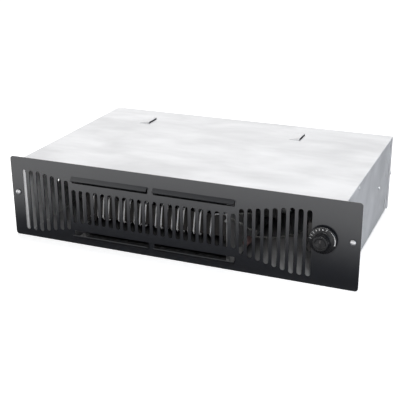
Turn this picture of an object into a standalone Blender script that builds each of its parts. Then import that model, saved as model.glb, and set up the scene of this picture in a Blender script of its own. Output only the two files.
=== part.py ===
"""Plinth fan heater: a low galvanised casing behind a black slotted grille.

Metres, +Z up. X runs along the grille, +Y from the grille to the rear panel. Every piece hangs on an
empty at the middle of the grille's front face, at the height of the grille's lower edge, so that the
numbers below are depths behind the grille and heights over its lower edge.
"""
import math

import bmesh
import bpy
from mathutils import Matrix, Vector

# ---- clearances -------------------------------------------------------------
GAP = 0.0003                 # between pieces that touch
RUNNING_GAP = 0.0006         # between the turning rotor and the stator
HOLE_GAP = 0.0003            # between a shank and its hole, on the radius

# ---- grille -----------------------------------------------------------------
GRILLE_WIDTH = 0.470
GRILLE_HEIGHT = 0.111
GRILLE_THICKNESS = 0.0012
GRILLE_CORNER = 0.004
GRILLE_SCREW_INSET = 0.009   # from the grille's end
GRILLE_SCREW_Z = 0.0615
GRILLE_SCREW_RADIUS = 0.0019
GRILLE_SCREW_HEAD = 0.0036   # head's radius
GRILLE_SCREW_HEAD_HEIGHT = 0.0024
GRILLE_SCREW_LENGTH = 0.013

SLOT_FIRST = 0.020           # first slot's centre from the grille's left end
SLOT_LAST = 0.06124          # last slot's centre from the grille's right end
SLOT_SHARE = 0.6             # slot's share of the pitch
SLOTS_LEFT = 7
SLOTS_MIDDLE = 22
SLOTS_RIGHT = 9
SLOT_FULL = 3                # full-height slots at each end
SLOT_LOW = 0.009
SLOT_HIGH = 0.094
SLOT_TAPER_LOW = 0.0023      # rise of the lower end per slot towards the middle
SLOT_TAPER_HIGH = 0.0018     # drop of the upper end per slot towards the middle
SHORT_SLOT_LOW = 0.0295
SHORT_SLOT_HIGH = 0.0755

FLAP_OPENING_HEIGHT = 0.0095
FLAP_LENGTH = 0.0076
FLAP_ANGLE = math.radians(53)
FLAP_SHEET = 0.001
FLAP_END_GAP = 0.0004        # flap's end to the end of its opening
FLAP_CORNER = 0.0012         # radius of the opening's corners
FLAP_OVERHANG = 0.0022       # openings' reach over the middles of the outer short slots
FLAP_BAR = 0.0075            # between the two openings of a row
UPPER_FLAP_Z = 0.094
LOWER_FLAP_Z = 0.009

# ---- casing -----------------------------------------------------------------
GRILLE_OVERHANG = 0.0185     # grille's reach over the casing at each side
CASING_DEPTH = 0.2715        # grille's front face to the rear panel's rear face
CASING_TOP = 0.1105
CASING_BOTTOM = 0.0045
SHEET = 0.001
COVER_LIP = 0.009
REAR_FLANGE = 0.0092
EAR_REACH = 0.0155           # front flange's reach outside the casing's side
LANCE_HEIGHT = 0.003
LANCE_LENGTH = 0.031
LANCE_WIDTH = 0.0155
LANCE_TO_REAR = 0.0535       # lances' centres to the rear panel's rear face
LANCE_LEFT = 0.0965          # left lance's centre from the grille's left end
LANCE_RIGHT = 0.143          # right lance's centre from the grille's right end
SIDE_SLOT_TO_REAR = 0.0305
SIDE_SLOT_SIZE = (0.003, 0.009)
SIDE_SLOT_HEIGHTS = (0.084, 0.065)   # centres
PILOT_Y = 0.081              # pilot hole in the left side
PILOT_Z = 0.0525
PILOT_RADIUS = 0.002
NOTCH_TO_REAR = 0.0255
NOTCH_SIZE = (0.005, 0.014)
NOTCH_RISE = 0.006           # over the casing's lower edge
CORNER_WINDOWS = ((0.0035, 0.016), (0.046, 0.060))   # lower and upper end of the rear panel's windows
CORNER_WINDOW_WIDTH = 0.006
COVER_RIVET_Y = 0.061
COMPARTMENT_RIVET_TO_REAR = 0.074
COMPARTMENT_RIVET_Z = 0.058
RIVET_HEAD_RADIUS = 0.0028
RIVET_HEAD_HEIGHT = 0.0011
RIVET_SHANK_RADIUS = 0.0016
REAR_SCREW_Z = 0.058
REAR_SCREW_RADIUS = 0.0015
REAR_SCREW_HEAD = 0.0028
REAR_SCREW_HEAD_HEIGHT = 0.0014
REAR_SCREW_LENGTH = 0.007

# ---- duct -------------------------------------------------------------------
DUCT_LEFT_INSET = 0.00745    # left duct plate's outer face from the first short slot's middle
DUCT_RIGHT_INSET = 0.0112    # right duct plate's outer face from the last short slot's middle
DUCT_FRONT = 0.009
DUCT_REAR = 0.190
DUCT_FOOT = 0.008
DUCT_SHEET = 0.001
MOUTH_LOW = 0.024
MOUTH_HIGH = 0.081
SCROLL_START = 4             # degrees round the blower's axis, 0 to the rear and 90 up
SCROLL_SWEEP = 100
SCROLL_LIP = 0.006
SCROLL_END_Y = 0.059         # where the duct's floor turns down to the scroll
ROOF_BEND_Y = 0.064          # where the duct's roof turns up to the tongue
TONGUE_RISE = 0.006

# ---- blower -----------------------------------------------------------------
BLOWER_Y = 0.128
BLOWER_Z = 0.057
WHEEL_RADIUS = 0.030
WHEEL_END_GAP = 0.007        # wheel's ends to the duct plates
BLADE_COUNT = 24
BLADE_INNER_RADIUS = 0.0235
BLADE_THICKNESS = 0.0009
DISC_THICKNESS = 0.002
DISC_RIM = 0.0012            # disc's rim over the blade tips
SHAFT_RADIUS = 0.0025
HUB_RADIUS = 0.007
HUB_LENGTH = 0.014
SCROLL_START_GAP = 0.0035    # scroll wall to the wheel, at its start
SCROLL_END_GAP = 0.0125
TONGUE_GAP = 0.0030
GROMMET_RADIUS = 0.0095
GROMMET_GROOVE = 0.002
GROMMET_FLANK = 0.0025
BEARING_RADIUS = 0.0055
STUB_BEARING_LENGTH = 0.006
STUB_REACH = 0.006           # stub axle's end outside the left duct plate
WHEEL_EYE = 0.0195           # radius of the hole in the middle disc

# ---- motor ------------------------------------------------------------------
STACK_LENGTH = 0.020
MOTOR_STANDOFF = 0.0035      # right duct plate to the inner bracket
STACK_HALF = 0.024
STACK_LEG = 0.046            # from the shaft to the outer side of the wound leg
WINDOW_NEAR = 0.024
LEG_WIDTH = 0.010
WINDOW_HALF = 0.0155
ROTOR_RADIUS = 0.0120
BRACKET_THICKNESS = 0.004
BRACKET_WIDTH = 0.013
BRACKET_BOSS_RADIUS = 0.0075
BRACKET_FOOT_RADIUS = 0.0055
MOTOR_SPAN = 0.0105          # stator's face to the outer side of a bracket
MOTOR_BEARING_LENGTH = 0.008
WINDING_WALL = 0.0085
WINDING_EDGE = 0.003
SPACER_RADIUS = 0.0045
MOTOR_SCREW_OFFSET = 0.0195
MOTOR_SCREW_RADIUS = 0.0019
MOTOR_SCREW_HEAD = 0.0034
MOTOR_SCREW_HEAD_HEIGHT = 0.0022
COOLING_FAN_RADIUS = 0.020
COOLING_FAN_BLADES = 6
COOLING_FAN_CLEARANCE = 0.0035
COOLING_FAN_HUB = 0.006
COOLING_FAN_DISC = 0.0012
COOLING_FAN_LENGTH = 0.009
VANE_LENGTH = 0.008

# ---- element ----------------------------------------------------------------
COIL_CURLS = 23
COIL_MARGIN = 0.0134         # coil's ends to the duct plates
COIL_Y = 0.0172
COIL_Z = 0.050
COIL_HALF_DEPTH = 0.0062
COIL_HALF_HEIGHT = 0.016
COIL_WIRE_RADIUS = 0.0007
COIL_POINTS = 10             # per curl
MICA_THICKNESS = 0.001
MICA_TAB = 0.0135
MICA_TAB_LOW = 0.005         # tabs' reach under the coil
MICA_TAB_HIGH = 0.006        # tabs' reach over the coil
MICA_CLEARANCE = 0.0011      # board's edge to the inside of the curls
STUD_RADIUS = 0.0014
STUD_HEAD_RADIUS = 0.0023
STUD_HEAD_HEIGHT = 0.0042
STUD_LENGTH = 0.0055
STUD_INSET = 0.0085          # left stud's centre from the duct's left wall
LEFT_STUD_Z = 0.0362
TERMINAL_HIGH_Z = 0.0665
TERMINAL_LOW_Z = 0.0575
TERMINAL_INSET = 0.0025      # right terminals from the duct's right wall
TAIL_GAP = 0.0004            # coil's tails to the heads of the studs
RETURN_WIRE_RADIUS = 0.0008
RETURN_WIRE_GAP = 0.0006     # behind the board
RETURN_WIRE_DROP = 0.010     # under the coil's middle
LIMITER_Y = 0.050
LIMITER_Z = 0.063
LIMITER_RADIUS = 0.0078
LIMITER_FLANGE = 0.010
LIMITER_HEIGHT = 0.010
LIMITER_REACH = 0.0165       # tags' ends from the duct plate
LIMITER_TAG_OFFSET = 0.0045
TAG_WIDTH = 0.0062
TAG_THICKNESS = 0.0008

# ---- thermostat -------------------------------------------------------------
KNOB_INSET = 0.044           # from the grille's right end
KNOB_Z = 0.060
KNOB_SKIRT_RADIUS = 0.017
KNOB_CAP_RADIUS = 0.010
KNOB_SKIRT_FRONT = 0.0052    # ahead of the grille
KNOB_REACH = 0.0155
SPINDLE_RADIUS = 0.003
BUSH_RADIUS = 0.0052
NUT_WIDTH = 0.0075
NUT_THICKNESS = 0.0018
BODY_SIZE = (0.038, 0.030, 0.036)
SPINDLE_INNER = 0.008        # spindle's inner end from the grille's front
SPINDLE_SETBACK = 0.004      # spindle's outer end behind the knob's
THERMOSTAT_TAG = 0.0075
THERMOSTAT_TAG_OFFSET = 0.0097
KNOB_SIDES = 28
KNOB_MARK_WIDTH = 0.0012

# ---- wiring -----------------------------------------------------------------
COMPARTMENT_WIDTH = 0.064
COMPARTMENT_TOP = 0.088
COMPARTMENT_FLANGE = 0.0065  # each side of its rivet
EARTH_INSET = 0.0142         # from the casing's right side
EARTH_TO_REAR = 0.0495
EARTH_RADIUS = 0.002
EARTH_HEAD = 0.0038
EARTH_HEAD_HEIGHT = 0.0024
BLOCK_INSET = 0.0382         # from the casing's right side
BLOCK_TO_REAR = 0.0285
BLOCK_DEPTH = 0.020
BLOCK_HEIGHT = 0.017
BLOCK_PITCH = 0.012
BLOCK_WELL_RISE = 0.0055
BLOCK_WELL_DEPTH = 0.007
CABLE_INSET = 0.0342         # from the casing's right side
CABLE_Z = 0.042
CABLE_HOLE_RADIUS = 0.011
CABLE_BORE_RADIUS = 0.0065
BUSH_FLANGE = 0.0017
BUSH_LIP = 0.002             # flange's and tail's reach over the hole
BUSH_TAIL = 0.004
CONNECTOR_OFFSET = 0.015     # from the right duct plate
CONNECTOR_Y = 0.034
CONNECTOR_Z = 0.0225
CONNECTOR_RADIUS = 0.005
CONNECTOR_LENGTH = 0.015
CONNECTOR_CUP = 0.007
PAIR_OFFSET = 0.00145        # of two leads side by side
LEAD_RADIUS = 0.0012
LEAD_STEP = 0.009            # between the points of a lead
LEAD_SQUARE = 0.004          # straight stretch at a lead's end
MOTOR_LEAD_OFFSET = 0.006    # motor's leads over and under the shaft
LEAD_GATE_INSET = 0.0492     # the leads' hole in the compartment's front wall, from the casing's side
LEAD_GATE_Z = 0.050
LEAD_GATE_RADIUS = 0.0095

# ---- worked out from the sizes above ----------------------------------------
ROOT_Y = -(CASING_DEPTH + GAP + BUSH_FLANGE - KNOB_REACH) / 2
GRILLE_RIGHT = GRILLE_WIDTH / 2
GRILLE_LEFT = -GRILLE_RIGHT
SLOT_COUNT = SLOTS_LEFT + SLOTS_MIDDLE + SLOTS_RIGHT
SLOT_PITCH = (GRILLE_WIDTH - SLOT_FIRST - SLOT_LAST) / (SLOT_COUNT - 1)
SLOT_WIDTH = SLOT_PITCH * SLOT_SHARE
FIRST_SHORT_X = GRILLE_LEFT + SLOT_FIRST + SLOTS_LEFT * SLOT_PITCH
LAST_SHORT_X = FIRST_SHORT_X + (SLOTS_MIDDLE - 1) * SLOT_PITCH
FLAP_MIDDLE = (FIRST_SHORT_X + LAST_SHORT_X) / 2
CASING_HALF = GRILLE_RIGHT - GRILLE_OVERHANG
SIDE_OUT = CASING_HALF - SHEET - GAP           # casing side's outer face
SIDE_IN = SIDE_OUT - SHEET
CASING_FRONT = GRILLE_THICKNESS + GAP
FLOOR_TOP = CASING_BOTTOM + SHEET
COVER_UNDER = CASING_TOP - SHEET
REAR_INNER = CASING_DEPTH - SHEET
LANCE_Y = CASING_DEPTH - LANCE_TO_REAR
SIDE_SLOT_Y = CASING_DEPTH - SIDE_SLOT_TO_REAR
NOTCH_Y = CASING_DEPTH - NOTCH_TO_REAR
COMPARTMENT_RIVET_Y = CASING_DEPTH - COMPARTMENT_RIVET_TO_REAR
DUCT_LEFT_OUT = FIRST_SHORT_X + DUCT_LEFT_INSET
DUCT_LEFT_IN = DUCT_LEFT_OUT + DUCT_SHEET
DUCT_RIGHT_OUT = LAST_SHORT_X - DUCT_RIGHT_INSET
DUCT_RIGHT_IN = DUCT_RIGHT_OUT - DUCT_SHEET
DUCT_MIDDLE = (DUCT_LEFT_OUT + DUCT_RIGHT_OUT) / 2
DUCT_TOP = COVER_UNDER - GAP
DUCT_BASE = FLOOR_TOP + GAP
WHEEL_LEFT = DUCT_LEFT_IN + WHEEL_END_GAP
WHEEL_RIGHT = DUCT_RIGHT_IN - WHEEL_END_GAP
STACK_X = DUCT_RIGHT_OUT + MOTOR_STANDOFF + MOTOR_SPAN   # stator's near face
STACK_END = STACK_X + STACK_LENGTH
MICA_Y = COIL_Y
COIL_START_X = DUCT_LEFT_IN + COIL_MARGIN
COIL_PITCH = (DUCT_RIGHT_IN - COIL_MARGIN - COIL_START_X) / COIL_CURLS
TERMINAL_X = DUCT_RIGHT_IN - TERMINAL_INSET
KNOB_X = GRILLE_RIGHT - KNOB_INSET
CONNECTOR_X = DUCT_RIGHT_OUT + CONNECTOR_OFFSET
COVER_RIVET_Z = CASING_TOP - COVER_LIP / 2 - SHEET / 2
REAR_SCREW_Y = CASING_DEPTH - REAR_FLANGE / 2
STUD_FACE = MICA_Y - MICA_THICKNESS / 2 - GAP          # back of the studs' heads
LEFT_STUD_X = DUCT_LEFT_IN + STUD_INSET
TAIL_Y = STUD_FACE - STUD_HEAD_HEIGHT + 2 * COIL_WIRE_RADIUS
LEAD_PORT_Y = STUD_FACE + STUD_LENGTH + GAP + LEAD_RADIUS
COMPARTMENT_FRONT = COMPARTMENT_RIVET_Y + COMPARTMENT_FLANGE
EARTH_X = SIDE_IN - EARTH_INSET
EARTH_Y = CASING_DEPTH - EARTH_TO_REAR
BLOCK_X = SIDE_IN - BLOCK_INSET
BLOCK_Y = CASING_DEPTH - BLOCK_TO_REAR
BLOCK_WELL_Z = DUCT_BASE + BLOCK_WELL_RISE
CABLE_X = SIDE_IN - CABLE_INSET
LEAD_GATE_X = SIDE_IN - LEAD_GATE_INSET

GALVANISED = ("galvanised_steel", (0.72, 0.73, 0.74), 0.45, 0.85)
BLACK_SHEET = ("black_painted_steel", (0.035, 0.036, 0.040), 0.42, 0.0)
BLACK_PLASTIC = ("black_plastic", (0.02, 0.02, 0.022), 0.35, 0.0)
BRIGHT_STEEL = ("bright_steel", (0.75, 0.75, 0.76), 0.25, 1.0)
RESISTANCE_WIRE = ("resistance_wire", (0.58, 0.56, 0.54), 0.35, 1.0)
MICA = ("mica_board", (0.10, 0.085, 0.075), 0.6, 0.0)
ALUMINIUM = ("aluminium", (0.60, 0.61, 0.62), 0.4, 1.0)
LAMINATION = ("lamination_steel", (0.22, 0.22, 0.23), 0.5, 0.9)
WINDING_TAPE = ("winding_tape", (0.55, 0.42, 0.10), 0.6, 0.0)
BRASS = ("brass", (0.70, 0.52, 0.22), 0.3, 1.0)
BRONZE = ("sintered_bronze", (0.45, 0.32, 0.18), 0.5, 1.0)
RUBBER = ("black_rubber", (0.03, 0.03, 0.03), 0.8, 0.0)
CREAM_PLASTIC = ("cream_plastic", (0.75, 0.72, 0.62), 0.5, 0.0)
DARK_PHENOLIC = ("dark_phenolic", (0.05, 0.04, 0.035), 0.5, 0.0)
RED_PLASTIC = ("red_plastic", (0.45, 0.13, 0.12), 0.5, 0.0)
LEAD_BLACK = ("black_lead", (0.03, 0.03, 0.03), 0.6, 0.0)
LEAD_RED = ("red_lead", (0.35, 0.05, 0.04), 0.6, 0.0)
LEAD_WHITE = ("white_lead", (0.70, 0.70, 0.68), 0.6, 0.0)


SMALL_SIDES = 12             # sides of a screw, rivet or stud
ROUND_SIDES = 18             # sides of a bush or boss


# ---- helpers ----------------------------------------------------------------
def clear_scene():
    for old in list(bpy.data.objects):
        bpy.data.objects.remove(old, do_unlink=True)


def make_collection(name):
    collection = bpy.data.collections.new(name)
    bpy.context.scene.collection.children.link(collection)
    return collection


clear_scene()
PARTS = make_collection("plinth_fan_heater")
CUTTERS = make_collection("cutters")


def make_empty(name, location, parent=None):
    empty = bpy.data.objects.new(name, None)
    empty.location = location
    empty.parent = parent
    PARTS.objects.link(empty)
    return empty


ROOT = make_empty("heater_root", (0, ROOT_Y, 0))
BLOWER_AXIS = make_empty("blower_axis", (0, BLOWER_Y, BLOWER_Z), ROOT)
KNOB_AXIS = make_empty("knob_axis", (KNOB_X, 0, KNOB_Z), ROOT)


def material(finish):
    name, colour, roughness, metallic = finish
    found = bpy.data.materials.get(name)
    if found:
        return found
    made = bpy.data.materials.new(name)
    made.use_nodes = True
    shader = made.node_tree.nodes["Principled BSDF"]
    shader.inputs["Base Color"].default_value = (*colour, 1)
    shader.inputs["Roughness"].default_value = roughness
    shader.inputs["Metallic"].default_value = metallic
    made.diffuse_color = (*colour, 1)
    return made


def place(name, mesh, finish, location, parent=ROOT, rotation=(0, 0, 0)):
    """Links a mesh as a named piece, or as a cutter when it has no finish."""
    piece = bpy.data.objects.new(name, mesh)
    piece.location = location
    piece.rotation_euler = rotation
    piece.parent = parent
    if finish:
        mesh.materials.append(material(finish))
        PARTS.objects.link(piece)
    else:
        CUTTERS.objects.link(piece)
        piece.hide_render = True
        piece.display_type = "WIRE"
    return piece


def mesh_from(bm, name):
    mesh = bpy.data.meshes.new(name)
    bmesh.ops.recalc_face_normals(bm, faces=bm.faces)
    bm.to_mesh(mesh)
    bm.free()
    return mesh


def smooth(piece, degrees=35):
    piece.data.shade_smooth()
    piece.data.set_sharp_from_angle(angle=math.radians(degrees))
    return piece


def box(name, low, high, finish=None, parent=ROOT):
    """A block between two corners, its origin in its middle."""
    low, high = Vector(low), Vector(high)
    bm = bmesh.new()
    bmesh.ops.create_cube(bm, size=1.0)
    bmesh.ops.scale(bm, vec=high - low, verts=bm.verts)
    return place(name, mesh_from(bm, name), finish, (low + high) / 2, parent)


AXIS_TURN = {"X": (0, math.pi / 2, 0), "Y": (-math.pi / 2, 0, 0), "Z": (0, 0, 0)}


def rod(name, start, length, radius, axis, finish=None, parent=ROOT, sides=ROUND_SIDES):
    """A cylinder that runs from start along +axis."""
    bm = bmesh.new()
    bmesh.ops.create_cone(bm, cap_ends=True, segments=sides, radius1=radius, radius2=radius, depth=length)
    bmesh.ops.translate(bm, vec=(0, 0, length / 2), verts=bm.verts)
    piece = place(name, mesh_from(bm, name), finish, start, parent, AXIS_TURN[axis])
    return smooth(piece)


def turned(name, profile, start, axis, finish=None, parent=ROOT, sides=ROUND_SIDES):
    """A turned piece: profile is (radius, height along the axis) round a closed outline.

    The outline is closed at the axis where it starts and ends with radius 0, and otherwise it is a ring.
    """
    bm = bmesh.new()
    corners = [bm.verts.new((radius, 0, height)) for radius, height in profile]
    for one, two in zip(corners, corners[1:]):
        bm.edges.new((one, two))
    if profile[0][0] > 0:
        bm.edges.new((corners[-1], corners[0]))
    bmesh.ops.spin(bm, geom=bm.verts[:] + bm.edges[:], cent=(0, 0, 0), axis=(0, 0, 1),
                   angle=2 * math.pi, steps=sides, use_merge=True)
    bmesh.ops.remove_doubles(bm, verts=bm.verts, dist=0.00001)
    piece = place(name, mesh_from(bm, name), finish, start, parent, AXIS_TURN[axis])
    return smooth(piece)


def prisms(name, loops, low, high):
    """A closed prism from each flat loop of (u, v), between the heights low and high."""
    bm = bmesh.new()
    for loop in loops:
        face = bm.faces.new([bm.verts.new((u, v, low)) for u, v in loop])
        made = bmesh.ops.extrude_face_region(bm, geom=[face], use_keep_orig=True)
        lifted = [item for item in made["geom"] if isinstance(item, bmesh.types.BMVert)]
        bmesh.ops.translate(bm, vec=(0, 0, high - low), verts=lifted)
    return mesh_from(bm, name)


UPRIGHT = Matrix.Rotation(math.pi / 2, 4, "X")            # (u, v) to (X, Z), thickness towards -Y
SIDEWAYS = Matrix.Rotation(math.pi / 2, 4, "Z") @ UPRIGHT   # (u, v) to (Y, Z), thickness towards +X


def flat_plate(name, loops, thickness, turn, location, finish, parent):
    """A flat plate whose first loop is its edge and whose others are its holes."""
    mesh = prisms(name, loops[:1], 0, thickness)
    mesh.transform(turn)
    plate = place(name, mesh, finish, location, parent)
    if loops[1:]:
        mesh = prisms(f"{name}_holes", loops[1:], -thickness / 2, thickness * 1.5)
        mesh.transform(turn)
        cut(plate, place(f"{name}_holes", mesh, None, location, parent))
    return plate


def upright_plate(name, loops, thickness, back, finish=None, parent=ROOT):
    """A flat plate across the heater, from depth back - thickness to back."""
    return flat_plate(name, loops, thickness, UPRIGHT, (0, back, 0), finish, parent)


def side_plate(name, loops, thickness, left, finish=None, parent=ROOT, at=(0, 0)):
    """A flat plate along the heater, from left to left + thickness; at is the outline's (Y, Z) origin."""
    return flat_plate(name, loops, thickness, SIDEWAYS, (left, at[0], at[1]), finish, parent)


def folded(name, profile, sweep, finish, parent=ROOT, thickness=SHEET):
    """Folded sheet: profile is the middle line's points, swept along the vector sweep."""
    bm = bmesh.new()
    corners = [bm.verts.new(point) for point in profile]
    edges = [bm.edges.new(pair) for pair in zip(corners, corners[1:])]
    made = bmesh.ops.extrude_edge_only(bm, edges=edges)
    moved = [item for item in made["geom"] if isinstance(item, bmesh.types.BMVert)]
    bmesh.ops.translate(bm, vec=sweep, verts=moved)
    piece = place(name, mesh_from(bm, name), finish, (0, 0, 0), parent)
    wall = piece.modifiers.new("sheet", "SOLIDIFY")
    wall.thickness = thickness
    wall.offset = 0
    wall.use_even_offset = True
    return piece


def tube(name, points, radius, finish, resolution=2, parent=ROOT):
    """A wire along points, with closed ends."""
    curve = bpy.data.curves.new(name, "CURVE")
    curve.dimensions = "3D"
    curve.bevel_depth = radius
    curve.bevel_resolution = resolution
    curve.use_fill_caps = True
    spline = curve.splines.new("POLY")
    spline.points.add(len(points) - 1)
    for point, spot in zip(spline.points, points):
        point.co = (*spot, 1)
    curve.materials.append(material(finish))
    piece = bpy.data.objects.new(name, curve)
    piece.parent = parent
    PARTS.objects.link(piece)
    return piece


def combine(piece, others, operation):
    for other in others:
        joint = piece.modifiers.new(other.name, "BOOLEAN")
        joint.operation = operation
        joint.object = other
        joint.solver = "EXACT"
    return piece


def cut(piece, *others):
    return combine(piece, others, "DIFFERENCE")


def fuse(piece, *others):
    return combine(piece, others, "UNION")


def arc(centre, radius, start, end, steps):
    """Points on an arc between two angles in degrees, both ends included."""
    points = []
    for step in range(steps + 1):
        angle = math.radians(start + (end - start) * step / steps)
        points.append((centre[0] + radius * math.cos(angle), centre[1] + radius * math.sin(angle)))
    return points


def rounded_rectangle(low, high, radius, steps=4):
    (left, base), (right, top) = low, high
    return (arc((right - radius, base + radius), radius, -90, 0, steps)
            + arc((right - radius, top - radius), radius, 0, 90, steps)
            + arc((left + radius, top - radius), radius, 90, 180, steps)
            + arc((left + radius, base + radius), radius, 180, 270, steps))


def circle(centre, radius, sides=ROUND_SIDES):
    return arc(centre, radius, 0, 360 * (sides - 1) / sides, sides - 1)


def upright_slot(centre_x, low, high, width, steps=4):
    radius = width / 2
    return (arc((centre_x, high - radius), radius, 0, 180, steps)
            + arc((centre_x, low + radius), radius, 180, 360, steps))


def smooth_route(knots, spacing):
    """Points on a smooth curve through the knots (Catmull-Rom), about spacing apart."""
    knots = [Vector(knot) for knot in knots]
    ends = [2 * knots[0] - knots[1]] + knots + [2 * knots[-1] - knots[-2]]
    points = [knots[0]]
    for before, start, end, after in zip(ends, ends[1:], ends[2:], ends[3:]):
        steps = max(1, round((end - start).length / spacing))
        for step in range(1, steps + 1):
            t = step / steps
            points.append(0.5 * (2 * start + (end - before) * t
                                 + (2 * before - 5 * start + 4 * end - after) * t ** 2
                                 + (3 * start - before - 3 * end + after) * t ** 3))
    return points


# ---- grille -----------------------------------------------------------------
def slot_span(index):
    """Lower and upper end of a slot, which close in towards the middle group."""
    last = SLOT_COUNT - 1
    if SLOTS_LEFT <= index < SLOTS_LEFT + SLOTS_MIDDLE:
        return SHORT_SLOT_LOW, SHORT_SLOT_HIGH
    inward = max(0, min(index, last - index) - SLOT_FULL + 1)
    return SLOT_LOW + SLOT_TAPER_LOW * inward, SLOT_HIGH - SLOT_TAPER_HIGH * inward


def slot_loops():
    loops = []
    for index in range(SLOT_COUNT):
        low, high = slot_span(index)
        loops.append(upright_slot(GRILLE_LEFT + SLOT_FIRST + index * SLOT_PITCH, low, high, SLOT_WIDTH))
    return loops


def flap(name, left, right, hinge_z, turn):
    """A lanced flap, bent outwards: turn is +1 when it hangs from its upper edge and -1 when it stands."""
    root = GRILLE_THICKNESS / 4
    half = FLAP_SHEET / 2
    blade = box(name, (left, -half, -FLAP_LENGTH), (right, half, root))
    blade.data.transform(Matrix.Translation((0, 0, (root - FLAP_LENGTH) / 2)))
    blade.location = ((left + right) / 2, GRILLE_THICKNESS / 2, hinge_z + turn * root)
    blade.rotation_euler = (-FLAP_ANGLE if turn > 0 else math.pi + FLAP_ANGLE, 0, 0)
    return blade


def make_grille():
    loops = [rounded_rectangle((GRILLE_LEFT, 0), (GRILLE_RIGHT, GRILLE_HEIGHT), GRILLE_CORNER)]
    loops += slot_loops()
    blades = []
    for side, left, right in (("left", FIRST_SHORT_X - FLAP_OVERHANG, FLAP_MIDDLE - FLAP_BAR / 2),
                              ("right", FLAP_MIDDLE + FLAP_BAR / 2, LAST_SHORT_X + FLAP_OVERHANG)):
        for level, hinge_z, turn in (("upper", UPPER_FLAP_Z, 1), ("lower", LOWER_FLAP_Z, -1)):
            low, high = sorted((hinge_z, hinge_z - turn * FLAP_OPENING_HEIGHT))
            loops.append(rounded_rectangle((left, low), (right, high), FLAP_CORNER, 2))
            blades.append(flap(f"flap_{level}_{side}", left + FLAP_END_GAP, right - FLAP_END_GAP, hinge_z,
                               turn))
    for sign in (-1, 1):
        hole_x = sign * (GRILLE_RIGHT - GRILLE_SCREW_INSET)
        loops.append(circle((hole_x, GRILLE_SCREW_Z), GRILLE_SCREW_RADIUS + HOLE_GAP, SMALL_SIDES))
    loops.append(circle((KNOB_X, KNOB_Z), BUSH_RADIUS + HOLE_GAP))
    grille = upright_plate("front_grille", loops, GRILLE_THICKNESS, GRILLE_THICKNESS, BLACK_SHEET)
    fuse(grille, *blades)


def screw(name, start, axis, head_radius, head_height, shank_radius, length, finish=BRIGHT_STEEL, arms=2):
    """A pan-head screw with a slot or a cross; its head lies behind start and its shank runs along +axis."""
    tip = min(shank_radius, length / 4)
    profile = [(0, -head_height), (head_radius * 0.6, -head_height), (head_radius, -head_height * 0.4),
               (head_radius, 0), (shank_radius, 0), (shank_radius, length - tip), (0, length)]
    piece = turned(name, profile, start, axis, finish, sides=SMALL_SIDES)
    for turn in range(arms):
        reach = [head_radius * 0.1, head_radius * 0.1, head_height * 0.5]
        reach[turn] = head_radius * 0.55
        half = Vector(reach)
        slot = box(f"{name}_recess_{turn}", -half, half, parent=piece)
        slot.location = (0, 0, -head_height)
        cut(piece, slot)
    return piece


def make_grille_screws():
    for side, sign in (("left", -1), ("right", 1)):
        spot = (sign * (GRILLE_RIGHT - GRILLE_SCREW_INSET), -GAP, GRILLE_SCREW_Z)
        screw(f"grille_screw_{side}", spot, "Y", GRILLE_SCREW_HEAD, GRILLE_SCREW_HEAD_HEIGHT,
              GRILLE_SCREW_RADIUS, GRILLE_SCREW_LENGTH)


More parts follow.
